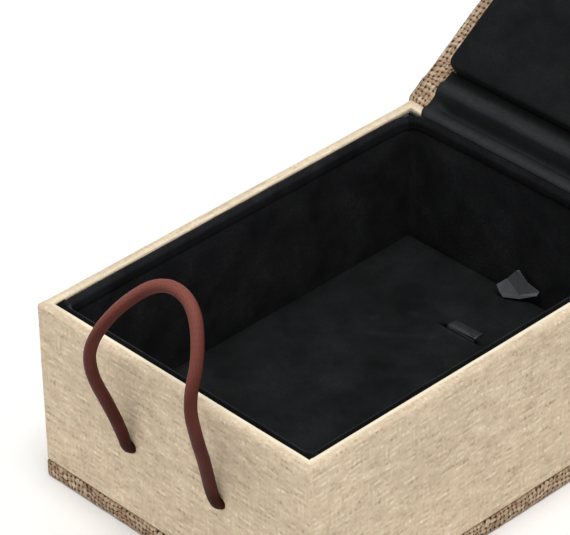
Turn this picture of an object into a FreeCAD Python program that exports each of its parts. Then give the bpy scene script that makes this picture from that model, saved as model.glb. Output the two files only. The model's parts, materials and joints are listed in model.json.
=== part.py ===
import FreeCAD, Part
import math
import os
import re

import Sketcher

# A fabric-covered keepsake box in book style. A linen-wrapped tray stands on a base board, and
# a padded lid hinges on the cloth joint along the tray's rear rim. A cord loop at the front
# hooks over a button on the lid, and a padded floor lifts out by a ribbon tab.
#
# Millimetres. X runs left to right along the front, Y from front to back, Z up. The origin is
# the centre of the tray's footprint on the underside. Every piece of the lid is drawn with the
# lid closed, and its Placement then opens it.

# Driving dimensions: cell name, size, what it measures.
SIZES = [
    ("tray_width", 100.0, "tray outside, left to right, over the linen"),
    ("tray_depth", 136.5, "tray outside, front to back, over the linen"),
    ("rim_height", 55.0, "tray rim above the table"),
    ("linen", 0.35, "thickness of the glued linen"),
    ("weave", 0.5, "thickness of the coarse case cloth"),
    ("cloth", 0.25, "thickness of the black hinge cloth"),
    ("case_board", 4.3, "greyboard of base and lid"),
    ("wall_board", 2.65, "greyboard of the tray walls"),
    ("spine_board_thickness", 3.0, "greyboard behind the rear wall"),
    ("floor_board", 2.0, "greyboard floor of the tray"),
    ("proud", 0.3, "how far base and spine stand out past the tray"),
    ("lid_proud", 1.2, "how far the lid stands out past the tray, at its sides and front"),
    ("linen_turn_in", 15.0, "linen turned down inside the walls"),
    ("case_turn_in", 12.0, "cloth turned in on hidden faces of the boards"),
    ("rear_drop", 0.5, "rear wall lower than the rim, for the hinge cloth"),
    ("spine_drop", 1.6, "spine lower than the rim, for the hinge's groove"),
    ("lining", 2.0, "padded lining panel"),
    ("lining_card", 1.0, "card inside a lining panel"),
    ("lining_top", 54.4, "top edge of the lining panels"),
    ("cord", 3.3, "diameter of the waxed loop cord"),
    ("cord_hole", 3.6, "diameter of the holes that the loop cord comes out of"),
    ("hole_spacing", 33.0, "between the two cord holes"),
    ("hole_shift", 0.8, "midpoint of the cord holes, right of the centre line"),
    ("hole_height", 27.5, "cord holes above the table"),
    ("cord_stand_off", 1.8, "bend of the cord in front of the linen"),
    ("knot_width", 8.0, "diameter of the flattened cord ends in the front wall"),
    ("knot_depth", 1.2, "thickness of the flattened cord ends"),
    ("knot_room", 0.6, "how much wider the card's pocket is than a cord end"),
    ("shank_proud", 0.05, "how far a cord end stands out of the linen, to meet the loop"),
    ("hinge_y", 71.1, "lid's turning line, from the centre"),
    ("hinge_height", 55.95, "lid's turning line above the table"),
    ("open_angle", 145.6, "lid opened from closed"),
    ("lid_gap", 0.15, "closed lid above the rim"),
    ("lid_back", 68.9, "rear edge of the closed lid"),
    ("hinge_cloth_width", 88.0, "black hinge cloth, left to right"),
    ("pad_width", 87.6, "lid pad, left to right"),
    ("pad_front", 61.9, "front edge of the closed lid's pad"),
    ("pad_back", 61.9, "rear edge of the closed lid's pad"),
    ("pad_depth", 5.0, "thickness of the lid pad"),
    ("pad_card", 1.0, "card inside the lid pad"),
    ("pad_corner", 3.0, "corner radius of the lid pad"),
    ("velvet", 0.3, "thickness of velvet on the pads"),
    ("floor_gap", 0.35, "beside and in front of the lift-out floor pad"),
    ("floor_rear_gap", 1.85, "behind the lift-out floor pad"),
    ("floor_pad_card", 1.5, "card under the floor pad"),
    ("floor_pad_depth", 8.75, "floor pad in all"),
    ("slit_length", 12.0, "slit in the floor pad"),
    ("slit_width", 0.9, "width of the slit"),
    ("slit_depth", 4.5, "depth of the slit"),
    ("slit_x", -0.5, "middle of the slit, from the centre"),
    ("slit_y", 36.1, "slit behind the centre"),
    ("ribbon", 0.35, "thickness of the satin ribbon"),
    ("ribbon_width", 10.6, "width of the satin ribbon"),
    ("tab_turn", 30.0, "the lift tab stands askew by this angle"),
    ("tab_thickness", 0.8, "folded lift tab"),
    ("button_width", 18.0, "diameter of the wooden button"),
    ("button_thickness", 4.0, "button at its rim"),
    ("button_dish", 1.0, "hollow in the button's face"),
    ("button_gap", 3.4, "room under the button for the loop"),
    ("button_inset", 20.0, "button centre behind the lid's front edge"),
    ("button_cord_width", 1.6, "cord that holds the button"),
    ("button_hole", 1.9, "holes for that cord"),
    ("button_hole_spacing", 5.0, "between those holes"),
    ("washer_width", 9.0, "washer that the button cord is knotted to"),
    ("washer_room", 0.8, "how much wider the pad card's pocket is than the washer"),
    ("washer_clear", 0.1, "between the washer and the foam under it"),
    ("spare", 1.0, "how far a cutting block reaches past what it cuts"),
    ("hair", 0.001, "least offset that a sketch's dimension can hold"),
]

# Route of the visible loop cord, from the left hole to the right one. It leans outwards and a
# little to the right, clear of the closing lid. The ends stand at the holes.
LOOP_ROUTE = [
    (-15.7, -70.05, 27.5),
    (-15.5, -70.9, 32.9),
    (-15.5, -74.8, 43.7),
    (-15.8, -80.2, 56.8),
    (-13.7, -81.8, 67.8),
    (-8.1, -76.9, 79.0),
    (0.7, -69.8, 87.5),
    (12.6, -69.9, 87.1),
    (20.7, -76.1, 78.8),
    (22.7, -82.1, 68.6),
    (22.1, -79.6, 56.8),
    (19.8, -75.0, 44.8),
    (16.7, -70.9, 33.9),
    (17.3, -70.05, 27.5),
]
ARC_SHARE = 0.45  # of the shorter run, taken by each bend

# The hinge cloths' middle lines from the side, back and up from the tray's rear face and rim,
# and then from the lid's rear edge and inner face, before the lid is opened.
INNER_CLOTH_OVER_RIM = [(-0.8, -0.375), (-0.1, 0.2), (0.6, -0.5), (2.0, -0.5), (3.1, 2.2)]
INNER_CLOTH_ON_LID = [(0.3, -0.225), (-0.5, -0.145), (-6.8, -0.145)]
OUTER_CLOTH_OVER_SPINE = [(3.25, -1.58), (3.25, -0.4), (3.5, 1.4)]
OUTER_CLOTH_ON_LID = [(0.27, 0.75), (0.27, 0.15)]

# Seen from the side: the ribbon's middle line, from the slit at the pad's top, back and up.
RIBBON_FOLD = [(0.0, -4.2), (0.0, 0.2), (0.9, 0.75), (3.4, 0.25)]
# The folded lift tab from the front, right and up from the middle of its foot.
TAB_OUTLINE = [
    (-4.9, 0.0),
    (0.1, 0.3),
    (5.0, 2.2),
    (5.2, 3.1),
    (-0.5, 9.1),
    (-1.6, 8.8),
    (-5.0, 6.0),
    (-7.2, 3.0),
]
TAB_FOOT = (-0.2, 59.4, 0.45)  # from the centre, and above the pad's top

# The sagging face of the button's dish passes here, as shares of its width and depth.
DISH_ACROSS = 1 / 3
DISH_DOWN = 0.75
UPRIGHT = 0.99  # an edge this near to Z, as a cosine, is upright

WORDS = {name for name, _, _ in SIZES}
X_AXIS = FreeCAD.Vector(1, 0, 0)
Z_AXIS = FreeCAD.Vector(0, 0, 1)

doc = FreeCAD.newDocument("keepsake_box")
sizes = doc.addObject("Spreadsheet::Sheet", "sizes")
for row, (alias, size, note) in enumerate(SIZES, start=1):
    sizes.set(f"A{row}", alias)
    sizes.set(f"B{row}", str(size))
    sizes.set(f"C{row}", note)
    sizes.setAlias(f"B{row}", alias)
doc.recompute()

pieces = []


# ---- helpers -------------------------------------------------------------------------------


def bind(thing, prop, expression):
    """Bind a property to the sheet. The expression names its cells plainly."""
    full = re.sub(r"[a-z]\w+", lambda m: f"sizes.{m[0]}" if m[0] in WORDS else m[0], expression)
    thing.setExpression(prop, full)


def number(alias):
    return float(getattr(sizes, alias))


def keep(thing, label):
    """Name a finished piece and list it for export."""
    thing.Label = label
    pieces.append(thing)
    return thing


def block(label, across, along, up):
    """A box between pairs of expressions along X, Y and Z."""
    box = doc.addObject("Part::Box", label)
    for side, axis, (low, high) in zip(("Length", "Width", "Height"), "xyz", (across, along, up)):
        bind(box, side, f"({high}) - ({low})")
        bind(box, f"Placement.Base.{axis}", low)
    return box


def rod(label, diameter, length, place, turn=None):
    """A cylinder along Z, or along the direction that the turn gives."""
    cylinder = doc.addObject("Part::Cylinder", label)
    if turn:
        cylinder.Placement = FreeCAD.Placement(FreeCAD.Vector(), turn)
    bind(cylinder, "Radius", f"({diameter}) / 2")
    bind(cylinder, "Height", length)
    for axis, expression in zip("xyz", place):
        bind(cylinder, f"Placement.Base.{axis}", expression)
    return cylinder


def joined(label, things):
    fuse = doc.addObject("Part::MultiFuse", label)
    fuse.Shapes = things
    return fuse


def cut(label, base, tools):
    """The base less its tools."""
    result = doc.addObject("Part::Cut", label)
    result.Base = base
    result.Tool = tools[0] if len(tools) == 1 else joined(label + "_tools", tools)
    return result


def rounded(label, thing, radius):
    """Fillet of a thing's upright edges."""
    doc.recompute()
    fillet = doc.addObject("Part::Fillet", label)
    fillet.Base = thing
    edges = []
    for index, edge in enumerate(thing.Shape.Edges, start=1):
        way = edge.lastVertex().Point.sub(edge.firstVertex().Point)
        if abs(way.z) > UPRIGHT * way.Length:
            edges.append((index, number(radius), number(radius)))
    fillet.Edges = edges
    return fillet


def on_plane(place, plane):
    """A place in the box, as the offset of a sketch on one of a body's planes."""
    x, y, z = place
    return {"XY_Plane": (x, y, z), "XZ_Plane": (x, z, f"-({y})"), "YZ_Plane": (y, z, x)}[plane]


def add_sketch(body, plane, place):
    """An empty sketch on a plane of its body, its origin at a place in the box."""
    sketch = body.newObject("Sketcher::SketchObject", body.Name + "_sketch")
    support = next(f for f in body.Origin.OriginFeatures if f.Role == plane)
    sketch.AttachmentSupport = [(support, "")]
    sketch.MapMode = "FlatFace"
    for axis, expression in zip("xyz", on_plane(place, plane)):
        bind(sketch, f"AttachmentOffset.Base.{axis}", expression)
    return sketch


def add_constraint(sketch, name, expression, kind, *ends):
    """A named dimension bound to the sheet."""
    sketch.addConstraint(Sketcher.Constraint(kind, *ends, 1.0))
    sketch.renameConstraint(sketch.ConstraintCount - 1, name)
    bind(sketch, f"Constraints.{name}", expression)


def add_rectangle(sketch, width, height):
    """A rectangle centred on the sketch's origin."""
    corners = [(-1, -1), (1, -1), (1, 1), (-1, 1)]
    for (x, y), (to_x, to_y) in zip(corners, corners[1:] + corners[:1]):
        line = Part.LineSegment(FreeCAD.Vector(x, y, 0), FreeCAD.Vector(to_x, to_y, 0))
        sketch.addGeometry(line, False)
    for side in range(4):
        sketch.addConstraint(Sketcher.Constraint("Coincident", side, 2, (side + 1) % 4, 1))
    for side in (0, 2):
        sketch.addConstraint(Sketcher.Constraint("Horizontal", side))
        sketch.addConstraint(Sketcher.Constraint("Vertical", side + 1))
    sketch.addConstraint(Sketcher.Constraint("Symmetric", 0, 1, 2, 1, -1, 1))
    add_constraint(sketch, "wide", width, "DistanceX", 0, 1, 0, 2)
    add_constraint(sketch, "high", height, "DistanceY", 1, 1, 1, 2)


def add_hole(sketch, name, diameter, right, up):
    """A round hole, right and up being from the sketch's origin; either may point backwards."""
    index = sketch.GeometryCount
    signs = [-1 if text.startswith("-") else 1 for text in (right, up)]
    centre = FreeCAD.Vector(signs[0], signs[1], 0)
    sketch.addGeometry(Part.Circle(centre, Z_AXIS, 0.5), False)
    add_constraint(sketch, name + "_size", diameter, "Diameter", index)
    for kind, text, sign in zip(("DistanceX", "DistanceY"), (right, up), signs):
        ends = (-1, 1, index, 3) if sign > 0 else (index, 3, -1, 1)
        add_constraint(sketch, name + kind, text.lstrip("-"), kind, *ends)


def panel(label, plane, width, height, thickness, place, holes=()):
    """A flat board: a sketched rectangle, with round holes, padded to its thickness.

    The place is the middle of the face that the board grows from, towards +Z, -Y or +X.
    """
    body = doc.addObject("PartDesign::Body", label)
    sketch = add_sketch(body, plane, place)
    add_rectangle(sketch, width, height)
    for index, (diameter, right, up) in enumerate(holes):
        add_hole(sketch, f"hole{index}", diameter, right, up)
    pad = body.newObject("PartDesign::Pad", label + "_pad")
    pad.Profile = sketch
    bind(pad, "Length", thickness)
    sketch.Visibility = False
    return body


def round_corners(body, radius):
    """Fillet the upright edges of a panel that lies flat."""
    doc.recompute()
    pad = body.Tip
    names = [
        f"Edge{index}"
        for index, edge in enumerate(pad.Shape.Edges, start=1)
        if len(edge.Vertexes) == 2 and abs(edge.tangentAt(edge.FirstParameter).z) > UPRIGHT
        and isinstance(edge.Curve, Part.Line)
    ]
    fillet = body.newObject("PartDesign::Fillet", body.Name + "_corners")
    fillet.Base = (pad, names)
    bind(fillet, "Radius", radius)
    return body


def strip_profile(points, thickness):
    """Both sides of a bent strip in the YZ plane, offset from its middle line."""
    sides = ([], [])
    for index, (y, z) in enumerate(points):
        before = points[max(index - 1, 0)]
        after = points[min(index + 1, len(points) - 1)]
        ways = [(y - before[0], z - before[1]), (after[0] - y, after[1] - z)]
        units = [(a / math.hypot(a, b), b / math.hypot(a, b)) for a, b in ways if (a, b) != (0, 0)]
        normal_y = sum(-b for _, b in units)
        normal_z = sum(a for a, _ in units)
        size = math.hypot(normal_y, normal_z)
        normal_y, normal_z = normal_y / size, normal_z / size
        reach = thickness / 2 / (units[0][0] * normal_z - units[0][1] * normal_y)
        sides[0].append((y + normal_y * reach, z + normal_z * reach))
        sides[1].append((y - normal_y * reach, z - normal_z * reach))
    return sides[0] + sides[1][::-1]


def strip(label, points, thickness, left, right):
    """A strip of cloth: a bent profile in the YZ plane, drawn out from left to right."""
    outline = [FreeCAD.Vector(left, y, z) for y, z in strip_profile(points, thickness)]
    wire = Part.makePolygon(outline + outline[:1])
    feature = doc.addObject("Part::Feature", label)
    feature.Shape = Part.Face(wire).extrude(FreeCAD.Vector(right - left, 0, 0))
    return keep(feature, label)


# ---- the lid's opening -----------------------------------------------------------------------


def lid_placement():
    axis_point = FreeCAD.Vector(0, number("hinge_y"), number("hinge_height"))
    turn = FreeCAD.Rotation(X_AXIS, -number("open_angle"))
    return FreeCAD.Placement(FreeCAD.Vector(), turn, axis_point)


def opened(y, z):
    """A point of the closed lid, seen from the side, where the open lid has it."""
    point = lid_placement().multVec(FreeCAD.Vector(0, y, z))
    return point.y, point.z


def open_with_lid(thing):
    thing.Placement = lid_placement()
    return thing


# ---- tray: case boards and their cloth ---------------------------------------------------------

CASE_X = ("-tray_width / 2 - proud", "tray_width / 2 + proud")
CASE_CORE_X = ("-tray_width / 2 - proud + weave", "tray_width / 2 + proud - weave")
CASE_BOARD_WIDTH = "tray_width + 2 * proud - 2 * weave"
TURN_IN_X = ("-tray_width / 2 + case_turn_in", "tray_width / 2 - case_turn_in")
TURN_IN_Y = ("-tray_depth / 2 + case_turn_in", "tray_depth / 2 - case_turn_in")
BASE_HEIGHT = "(case_board + 2 * weave)"
FRONT = "(-tray_depth / 2 - proud)"
SPINE_BACK = "(tray_depth / 2 + spine_board_thickness + weave)"
SPINE_TOP = "(rim_height - spine_drop)"


def make_base():
    """Base board and the coarse cloth round it, turned in on top under the tray."""
    middle_y = f"({FRONT} + {SPINE_BACK}) / 2"
    depth = f"{SPINE_BACK} - {FRONT} - 2 * weave"
    board = panel(
        "base_board", "XY_Plane", CASE_BOARD_WIDTH, depth, "case_board", ("0", middle_y, "weave")
    )
    keep(board, "base_board")
    outside = block("base_cover_outside", CASE_X, (FRONT, SPINE_BACK), ("0", BASE_HEIGHT))
    core = block(
        "base_cover_core",
        CASE_CORE_X,
        (f"{FRONT} + weave", f"{SPINE_BACK} - weave"),
        ("weave", f"{BASE_HEIGHT} - weave"),
    )
    window = block(
        "base_cover_window",
        TURN_IN_X,
        TURN_IN_Y,
        (f"{BASE_HEIGHT} - weave", f"{BASE_HEIGHT} + spare"),
    )
    keep(cut("base_cover", outside, [core, window]), "base_cover")


def make_spine():
    """Spine board against the rear wall, and its cloth over the back, sides and top."""
    height = f"{SPINE_TOP} - weave - {BASE_HEIGHT}"
    board = panel(
        "spine_board",
        "XZ_Plane",
        CASE_BOARD_WIDTH,
        height,
        "spine_board_thickness",
        ("0", "tray_depth / 2 + spine_board_thickness", f"{BASE_HEIGHT} + ({height}) / 2"),
    )
    keep(board, "spine_board")
    outside = block(
        "spine_cover_outside", CASE_X, ("tray_depth / 2", SPINE_BACK), (BASE_HEIGHT, SPINE_TOP)
    )
    core = block(
        "spine_cover_core",
        CASE_CORE_X,
        ("tray_depth / 2 - spare", f"{SPINE_BACK} - weave"),
        (f"{BASE_HEIGHT} - spare", f"{SPINE_TOP} - weave"),
    )
    keep(cut("spine_cover", outside, [core]), "spine_cover")


# ---- tray: walls, linen and linings --------------------------------------------------------------

BOARD_X = "(tray_width / 2 - linen)"
BOARD_Y = "(tray_depth / 2 - linen)"
INNER_X = "(tray_width / 2 - linen - wall_board)"
INNER_Y = "(tray_depth / 2 - linen - wall_board)"
RIM_X = "(tray_width / 2 - 2 * linen - wall_board)"
RIM_Y = "(tray_depth / 2 - 2 * linen - wall_board)"
TRAY_BOTTOM = BASE_HEIGHT
FLOOR_TOP = f"({TRAY_BOTTOM} + linen + floor_board)"
WALL_TOP = "(rim_height - linen)"


def cord_holes(height_from):
    """The two cord holes in the front board, from the middle of its face."""
    return [
        ("cord_hole", "-(hole_spacing / 2 - hole_shift)", f"-({height_from} - hole_height)"),
        ("cord_hole", "hole_spacing / 2 + hole_shift", f"-({height_from} - hole_height)"),
    ]


def make_tray_boards():
    """Floor board, two side walls, and front and rear walls between them."""
    floor = panel(
        "tray_floor_board",
        "XY_Plane",
        f"2 * {BOARD_X}",
        f"2 * {BOARD_Y}",
        "floor_board",
        ("0", "0", f"{TRAY_BOTTOM} + linen"),
    )
    keep(floor, "tray_floor_board")
    height = f"({WALL_TOP} - {FLOOR_TOP})"
    middle = f"({FLOOR_TOP} + {height} / 2)"
    for label, edge in (("left_board", f"-{BOARD_X}"), ("right_board", INNER_X)):
        side = panel(
            label, "YZ_Plane", f"2 * {BOARD_Y}", height, "wall_board", (edge, "0", middle)
        )
        keep(side, label)
    front = panel(
        "front_board",
        "XZ_Plane",
        f"2 * {INNER_X}",
        height,
        "wall_board",
        ("0", f"-{INNER_Y}", middle),
        cord_holes(middle),
    )
    keep(front, "front_board")
    rear_height = f"({height} - rear_drop)"
    rear = panel(
        "rear_board",
        "XZ_Plane",
        f"2 * {INNER_X}",
        rear_height,
        "wall_board",
        ("0", BOARD_Y, f"{FLOOR_TOP} + {rear_height} / 2"),
    )
    keep(rear, "rear_board")


def make_tray_linen():
    """One skin of linen: over the outside and the rim, turned in at the top and underneath."""
    turn_in = "(rim_height - linen_turn_in)"
    outside = rounded(
        "tray_linen_rounded",
        block(
            "tray_linen_outside",
            ("-tray_width / 2", "tray_width / 2"),
            ("-tray_depth / 2", "tray_depth / 2"),
            (TRAY_BOTTOM, "rim_height"),
        ),
        "linen",
    )
    below = block(
        "tray_linen_below_turn_in",
        (f"-{BOARD_X}", BOARD_X),
        (f"-{BOARD_Y}", BOARD_Y),
        (f"{TRAY_BOTTOM} + linen", turn_in),
    )
    sides = [
        block(
            f"tray_linen_{name}_wall",
            (low, high),
            (f"-{BOARD_Y}", BOARD_Y),
            (f"{turn_in} - spare", WALL_TOP),
        )
        for name, low, high in (
            ("left", f"-{BOARD_X}", f"-{INNER_X}"),
            ("right", INNER_X, BOARD_X),
        )
    ]
    ends = [
        block(
            f"tray_linen_{name}_wall",
            (f"-{INNER_X} - spare", f"{INNER_X} + spare"),
            (low, high),
            (f"{turn_in} - spare", top),
        )
        for name, low, high, top in (
            ("front", f"-{BOARD_Y}", f"-{INNER_Y}", WALL_TOP),
            ("rear", INNER_Y, BOARD_Y, f"{WALL_TOP} - rear_drop"),
        )
    ]
    mouth = block(
        "tray_linen_mouth",
        (f"-{RIM_X}", RIM_X),
        (f"-{RIM_Y}", RIM_Y),
        (f"{turn_in} - spare", "rim_height + spare"),
    )
    rear_notch = block(
        "tray_linen_rear_notch",
        (f"-{RIM_X}", RIM_X),
        (f"{RIM_Y} - spare", "tray_depth / 2 + spare"),
        ("rim_height - rear_drop", "rim_height + spare"),
    )
    window = block(
        "tray_linen_underside_window",
        TURN_IN_X,
        TURN_IN_Y,
        (f"{TRAY_BOTTOM} - spare", f"{TRAY_BOTTOM} + linen"),
    )
    back_turn = FreeCAD.Rotation(X_AXIS, -90)
    holes = [
        rod(
            f"tray_linen_{name}_hole",
            "cord_hole",
            "linen + 2 * spare",
            (across, "-tray_depth / 2 - spare", "hole_height"),
            back_turn,
        )
        for name, across in (
            ("left", "hole_shift - hole_spacing / 2"),
            ("right", "hole_shift + hole_spacing / 2"),
        )
    ]
    tools = [below, *sides, *ends, mouth, rear_notch, window, *holes]
    keep(cut("tray_linen", outside, tools), "tray_linen")


def make_linings():
    """Four padded lining panels: a card against each wall and velvet over fleece on it.

    The front and rear panels run from wall to wall, and the side panels fit between them.
    """
    height = f"(lining_top - velvet - {FLOOR_TOP})"
    middle = f"({FLOOR_TOP} + {height} / 2)"
    side_end = f"({RIM_Y} - lining)"
    pockets = [("knot_width + knot_room", right, up) for _, right, up in cord_holes(middle)]
    cards = (
        ("front", "XZ_Plane", f"2 * {RIM_X}", "lining_card", f"-{RIM_Y} + lining_card", pockets),
        ("rear", "XZ_Plane", f"2 * {RIM_X}", "lining_card - cloth", f"{RIM_Y} - cloth", ()),
        ("left", "YZ_Plane", f"2 * {side_end}", "lining_card", f"-{RIM_X}", ()),
        ("right", "YZ_Plane", f"2 * {side_end}", "lining_card", f"{RIM_X} - lining_card", ()),
    )
    for name, plane, length, thickness, face, holes in cards:
        place = ("0", face, middle) if plane == "XZ_Plane" else (face, "0", middle)
        card = panel(f"{name}_lining_card", plane, length, height, thickness, place, holes)
        keep(card, f"{name}_lining_card")
    across = (f"-{RIM_X}", RIM_X)
    across_card = (f"-{RIM_X} - spare", f"{RIM_X} + spare")
    along = (f"-{side_end}", side_end)
    along_card = (f"-{side_end} - spare", f"{side_end} + spare")
    velvets = (
        (
            "front",
            (across, (f"-{RIM_Y}", f"-{RIM_Y} + lining")),
            (across_card, (f"-{RIM_Y} - spare", f"-{RIM_Y} + lining_card")),
        ),
        (
            "rear",
            (across, (f"{RIM_Y} - lining", f"{RIM_Y} - cloth")),
            (across_card, (f"{RIM_Y} - lining_card", f"{RIM_Y} + spare")),
        ),
        (
            "left",
            ((f"-{RIM_X}", f"-{RIM_X} + lining"), along),
            ((f"-{RIM_X} - spare", f"-{RIM_X} + lining_card"), along_card),
        ),
        (
            "right",
            ((f"{RIM_X} - lining", RIM_X), along),
            ((f"{RIM_X} - lining_card", f"{RIM_X} + spare"), along_card),
        ),
    )
    for name, whole, card_room in velvets:
        outside = block(f"{name}_velvet_outside", *whole, (FLOOR_TOP, "lining_top"))
        core = block(
            f"{name}_velvet_core", *card_room, (f"{FLOOR_TOP} - spare", "lining_top - velvet")
        )
        keep(cut(f"{name}_lining_velvet", outside, [core]), f"{name}_lining_velvet")


def make_cord_ends():
    """The cord's two ends: through the front wall, then flattened and glued behind the lining."""
    for name, sign in (("left", "-"), ("right", "+")):
        across = f"hole_shift {sign} hole_spacing / 2"
        turn = FreeCAD.Rotation(X_AXIS, -90)
        shank = rod(
            f"{name}_shank",
            "cord",
            "wall_board + linen + shank_proud",
            (across, "-tray_depth / 2 - shank_proud", "hole_height"),
            turn,
        )
        flat = rod(
            f"{name}_flat", "knot_width", "knot_depth", (across, f"-{INNER_Y}", "hole_height"), turn
        )
        keep(joined(f"{name}_cord_end", [shank, flat]), f"{name}_cord_end")


# ---- lid -----------------------------------------------------------------------------------------

LID_BOTTOM = "(rim_height + lid_gap)"
LID_TOP = f"({LID_BOTTOM} + {BASE_HEIGHT})"
LID_X = "(tray_width / 2 + lid_proud)"
LID_FRONT = "(-tray_depth / 2 - lid_proud)"
BUTTON_Y = f"({LID_FRONT} + button_inset)"
PAD_MIDDLE = "((pad_back - pad_front) / 2)"


def button_holes(middle_y, diameter="button_hole"):
    """The two cord holes under the button, from the middle of a panel."""
    along = f"-({middle_y} - {BUTTON_Y})"
    return [
        (diameter, "-(button_hole_spacing / 2)", along),
        (diameter, "button_hole_spacing / 2", along),
    ]


def make_lid_case():
    """Lid board and its coarse cloth, turned in round the inside."""
    middle_y = f"(({LID_FRONT} + lid_back) / 2)"
    board = panel(
        "lid_board",
        "XY_Plane",
        f"2 * {LID_X} - 2 * weave",
        f"lid_back - {LID_FRONT} - 2 * weave",
        "case_board",
        ("0", middle_y, f"{LID_BOTTOM} + weave"),
        button_holes(middle_y),
    )
    keep(open_with_lid(board), "lid_board")
    outside = block(
        "lid_cover_outside", (f"-{LID_X}", LID_X), (LID_FRONT, "lid_back"), (LID_BOTTOM, LID_TOP)
    )
    core = block(
        "lid_cover_core",
        (f"-{LID_X} + weave", f"{LID_X} - weave"),
        (f"{LID_FRONT} + weave", "lid_back - weave"),
        (f"{LID_BOTTOM} + weave", f"{LID_TOP} - weave"),
    )
    window = block(
        "lid_cover_window",
        TURN_IN_X,
        TURN_IN_Y,
        (f"{LID_BOTTOM} - spare", f"{LID_BOTTOM} + weave"),
    )
    holes = [
        rod(
            f"lid_cover_{name}_hole",
            "button_hole",
            "weave + 2 * spare",
            (f"{sign}button_hole_spacing / 2", BUTTON_Y, f"{LID_TOP} - weave - spare"),
        )
        for name, sign in (("left", "-"), ("right", ""))
    ]
    cover = cut("lid_cover", outside, [core, window, *holes])
    keep(open_with_lid(cover), "lid_cover")


def make_lid_pad():
    """Padded panel inside the lid: a card, foam on it, and velvet over both."""
    card_width = "pad_width - 2 * velvet"
    card_depth = "pad_back + pad_front - 2 * velvet"
    card_bottom = f"({LID_BOTTOM} - pad_card)"
    washer_pocket = [("washer_width + washer_room", "hair", f"-({PAD_MIDDLE} - {BUTTON_Y})")]
    card = panel(
        "lid_pad_card",
        "XY_Plane",
        card_width,
        card_depth,
        "pad_card",
        ("0", PAD_MIDDLE, card_bottom),
        washer_pocket,
    )
    round_corners(card, "pad_corner - velvet")
    keep(open_with_lid(card), "lid_pad_card")
    foam = panel(
        "lid_pad_foam",
        "XY_Plane",
        card_width,
        card_depth,
        "pad_depth - pad_card - velvet",
        ("0", PAD_MIDDLE, f"{LID_BOTTOM} - pad_depth + velvet"),
    )
    round_corners(foam, "pad_corner - velvet")
    keep(open_with_lid(foam), "lid_pad_foam")
    outside = panel(
        "lid_pad_velvet_outside",
        "XY_Plane",
        "pad_width",
        "pad_back + pad_front",
        "pad_depth",
        ("0", PAD_MIDDLE, f"{LID_BOTTOM} - pad_depth"),
    )
    round_corners(outside, "pad_corner")
    core = panel(
        "lid_pad_velvet_core",
        "XY_Plane",
        card_width,
        card_depth,
        "pad_depth",
        ("0", PAD_MIDDLE, f"{LID_BOTTOM} - pad_depth + velvet"),
    )
    round_corners(core, "pad_corner - velvet")
    velvet = cut("lid_pad_velvet", outside, [core])
    keep(open_with_lid(velvet), "lid_pad_velvet")


def make_button():
    """Turned wooden button: a dished disc revolved about its axis, with two cord holes."""
    body = doc.addObject("PartDesign::Body", "button")
    sketch = add_sketch(body, "XZ_Plane", ("0", BUTTON_Y, f"{LID_TOP} + button_gap"))
    radius = number("button_width") / 2
    thickness = number("button_thickness")
    dish = number("button_dish")
    edge = thickness / 2
    hollow = radius - thickness
    outline = [
        Part.LineSegment(FreeCAD.Vector(0, 0, 0), FreeCAD.Vector(radius - edge, 0, 0)),
        Part.Arc(
            FreeCAD.Vector(radius - edge, 0, 0),
            FreeCAD.Vector(radius, edge, 0),
            FreeCAD.Vector(radius - edge, thickness, 0),
        ),
        Part.Arc(
            FreeCAD.Vector(radius - edge, thickness, 0),
            FreeCAD.Vector(
                hollow + (radius - edge - hollow) * DISH_ACROSS, thickness - dish * DISH_DOWN, 0
            ),
            FreeCAD.Vector(hollow - edge, thickness - dish, 0),
        ),
        Part.LineSegment(
            FreeCAD.Vector(hollow - edge, thickness - dish, 0),
            FreeCAD.Vector(0, thickness - dish, 0),
        ),
        Part.LineSegment(FreeCAD.Vector(0, thickness - dish, 0), FreeCAD.Vector(0, 0, 0)),
    ]
    sketch.addGeometry(outline, False)
    sketch.addConstraint([Sketcher.Constraint("Block", index) for index in range(len(outline))])
    turned = body.newObject("PartDesign::Revolution", "button_turned")
    turned.Profile = sketch
    turned.ReferenceAxis = (sketch, ["V_Axis"])
    turned.Angle = 360
    doc.recompute()
    drill = add_sketch(body, "XY_Plane", ("0", BUTTON_Y, f"{LID_TOP} + button_gap"))
    for name, sign in (("left", "-"), ("right", "")):
        add_hole(drill, name, "button_hole", f"{sign}(button_hole_spacing / 2)", "hair")
    pocket = body.newObject("PartDesign::Pocket", "button_drilled")
    pocket.Profile = drill
    pocket.Type = "ThroughAll"
    pocket.Midplane = True
    keep(open_with_lid(body), "button")


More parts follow.
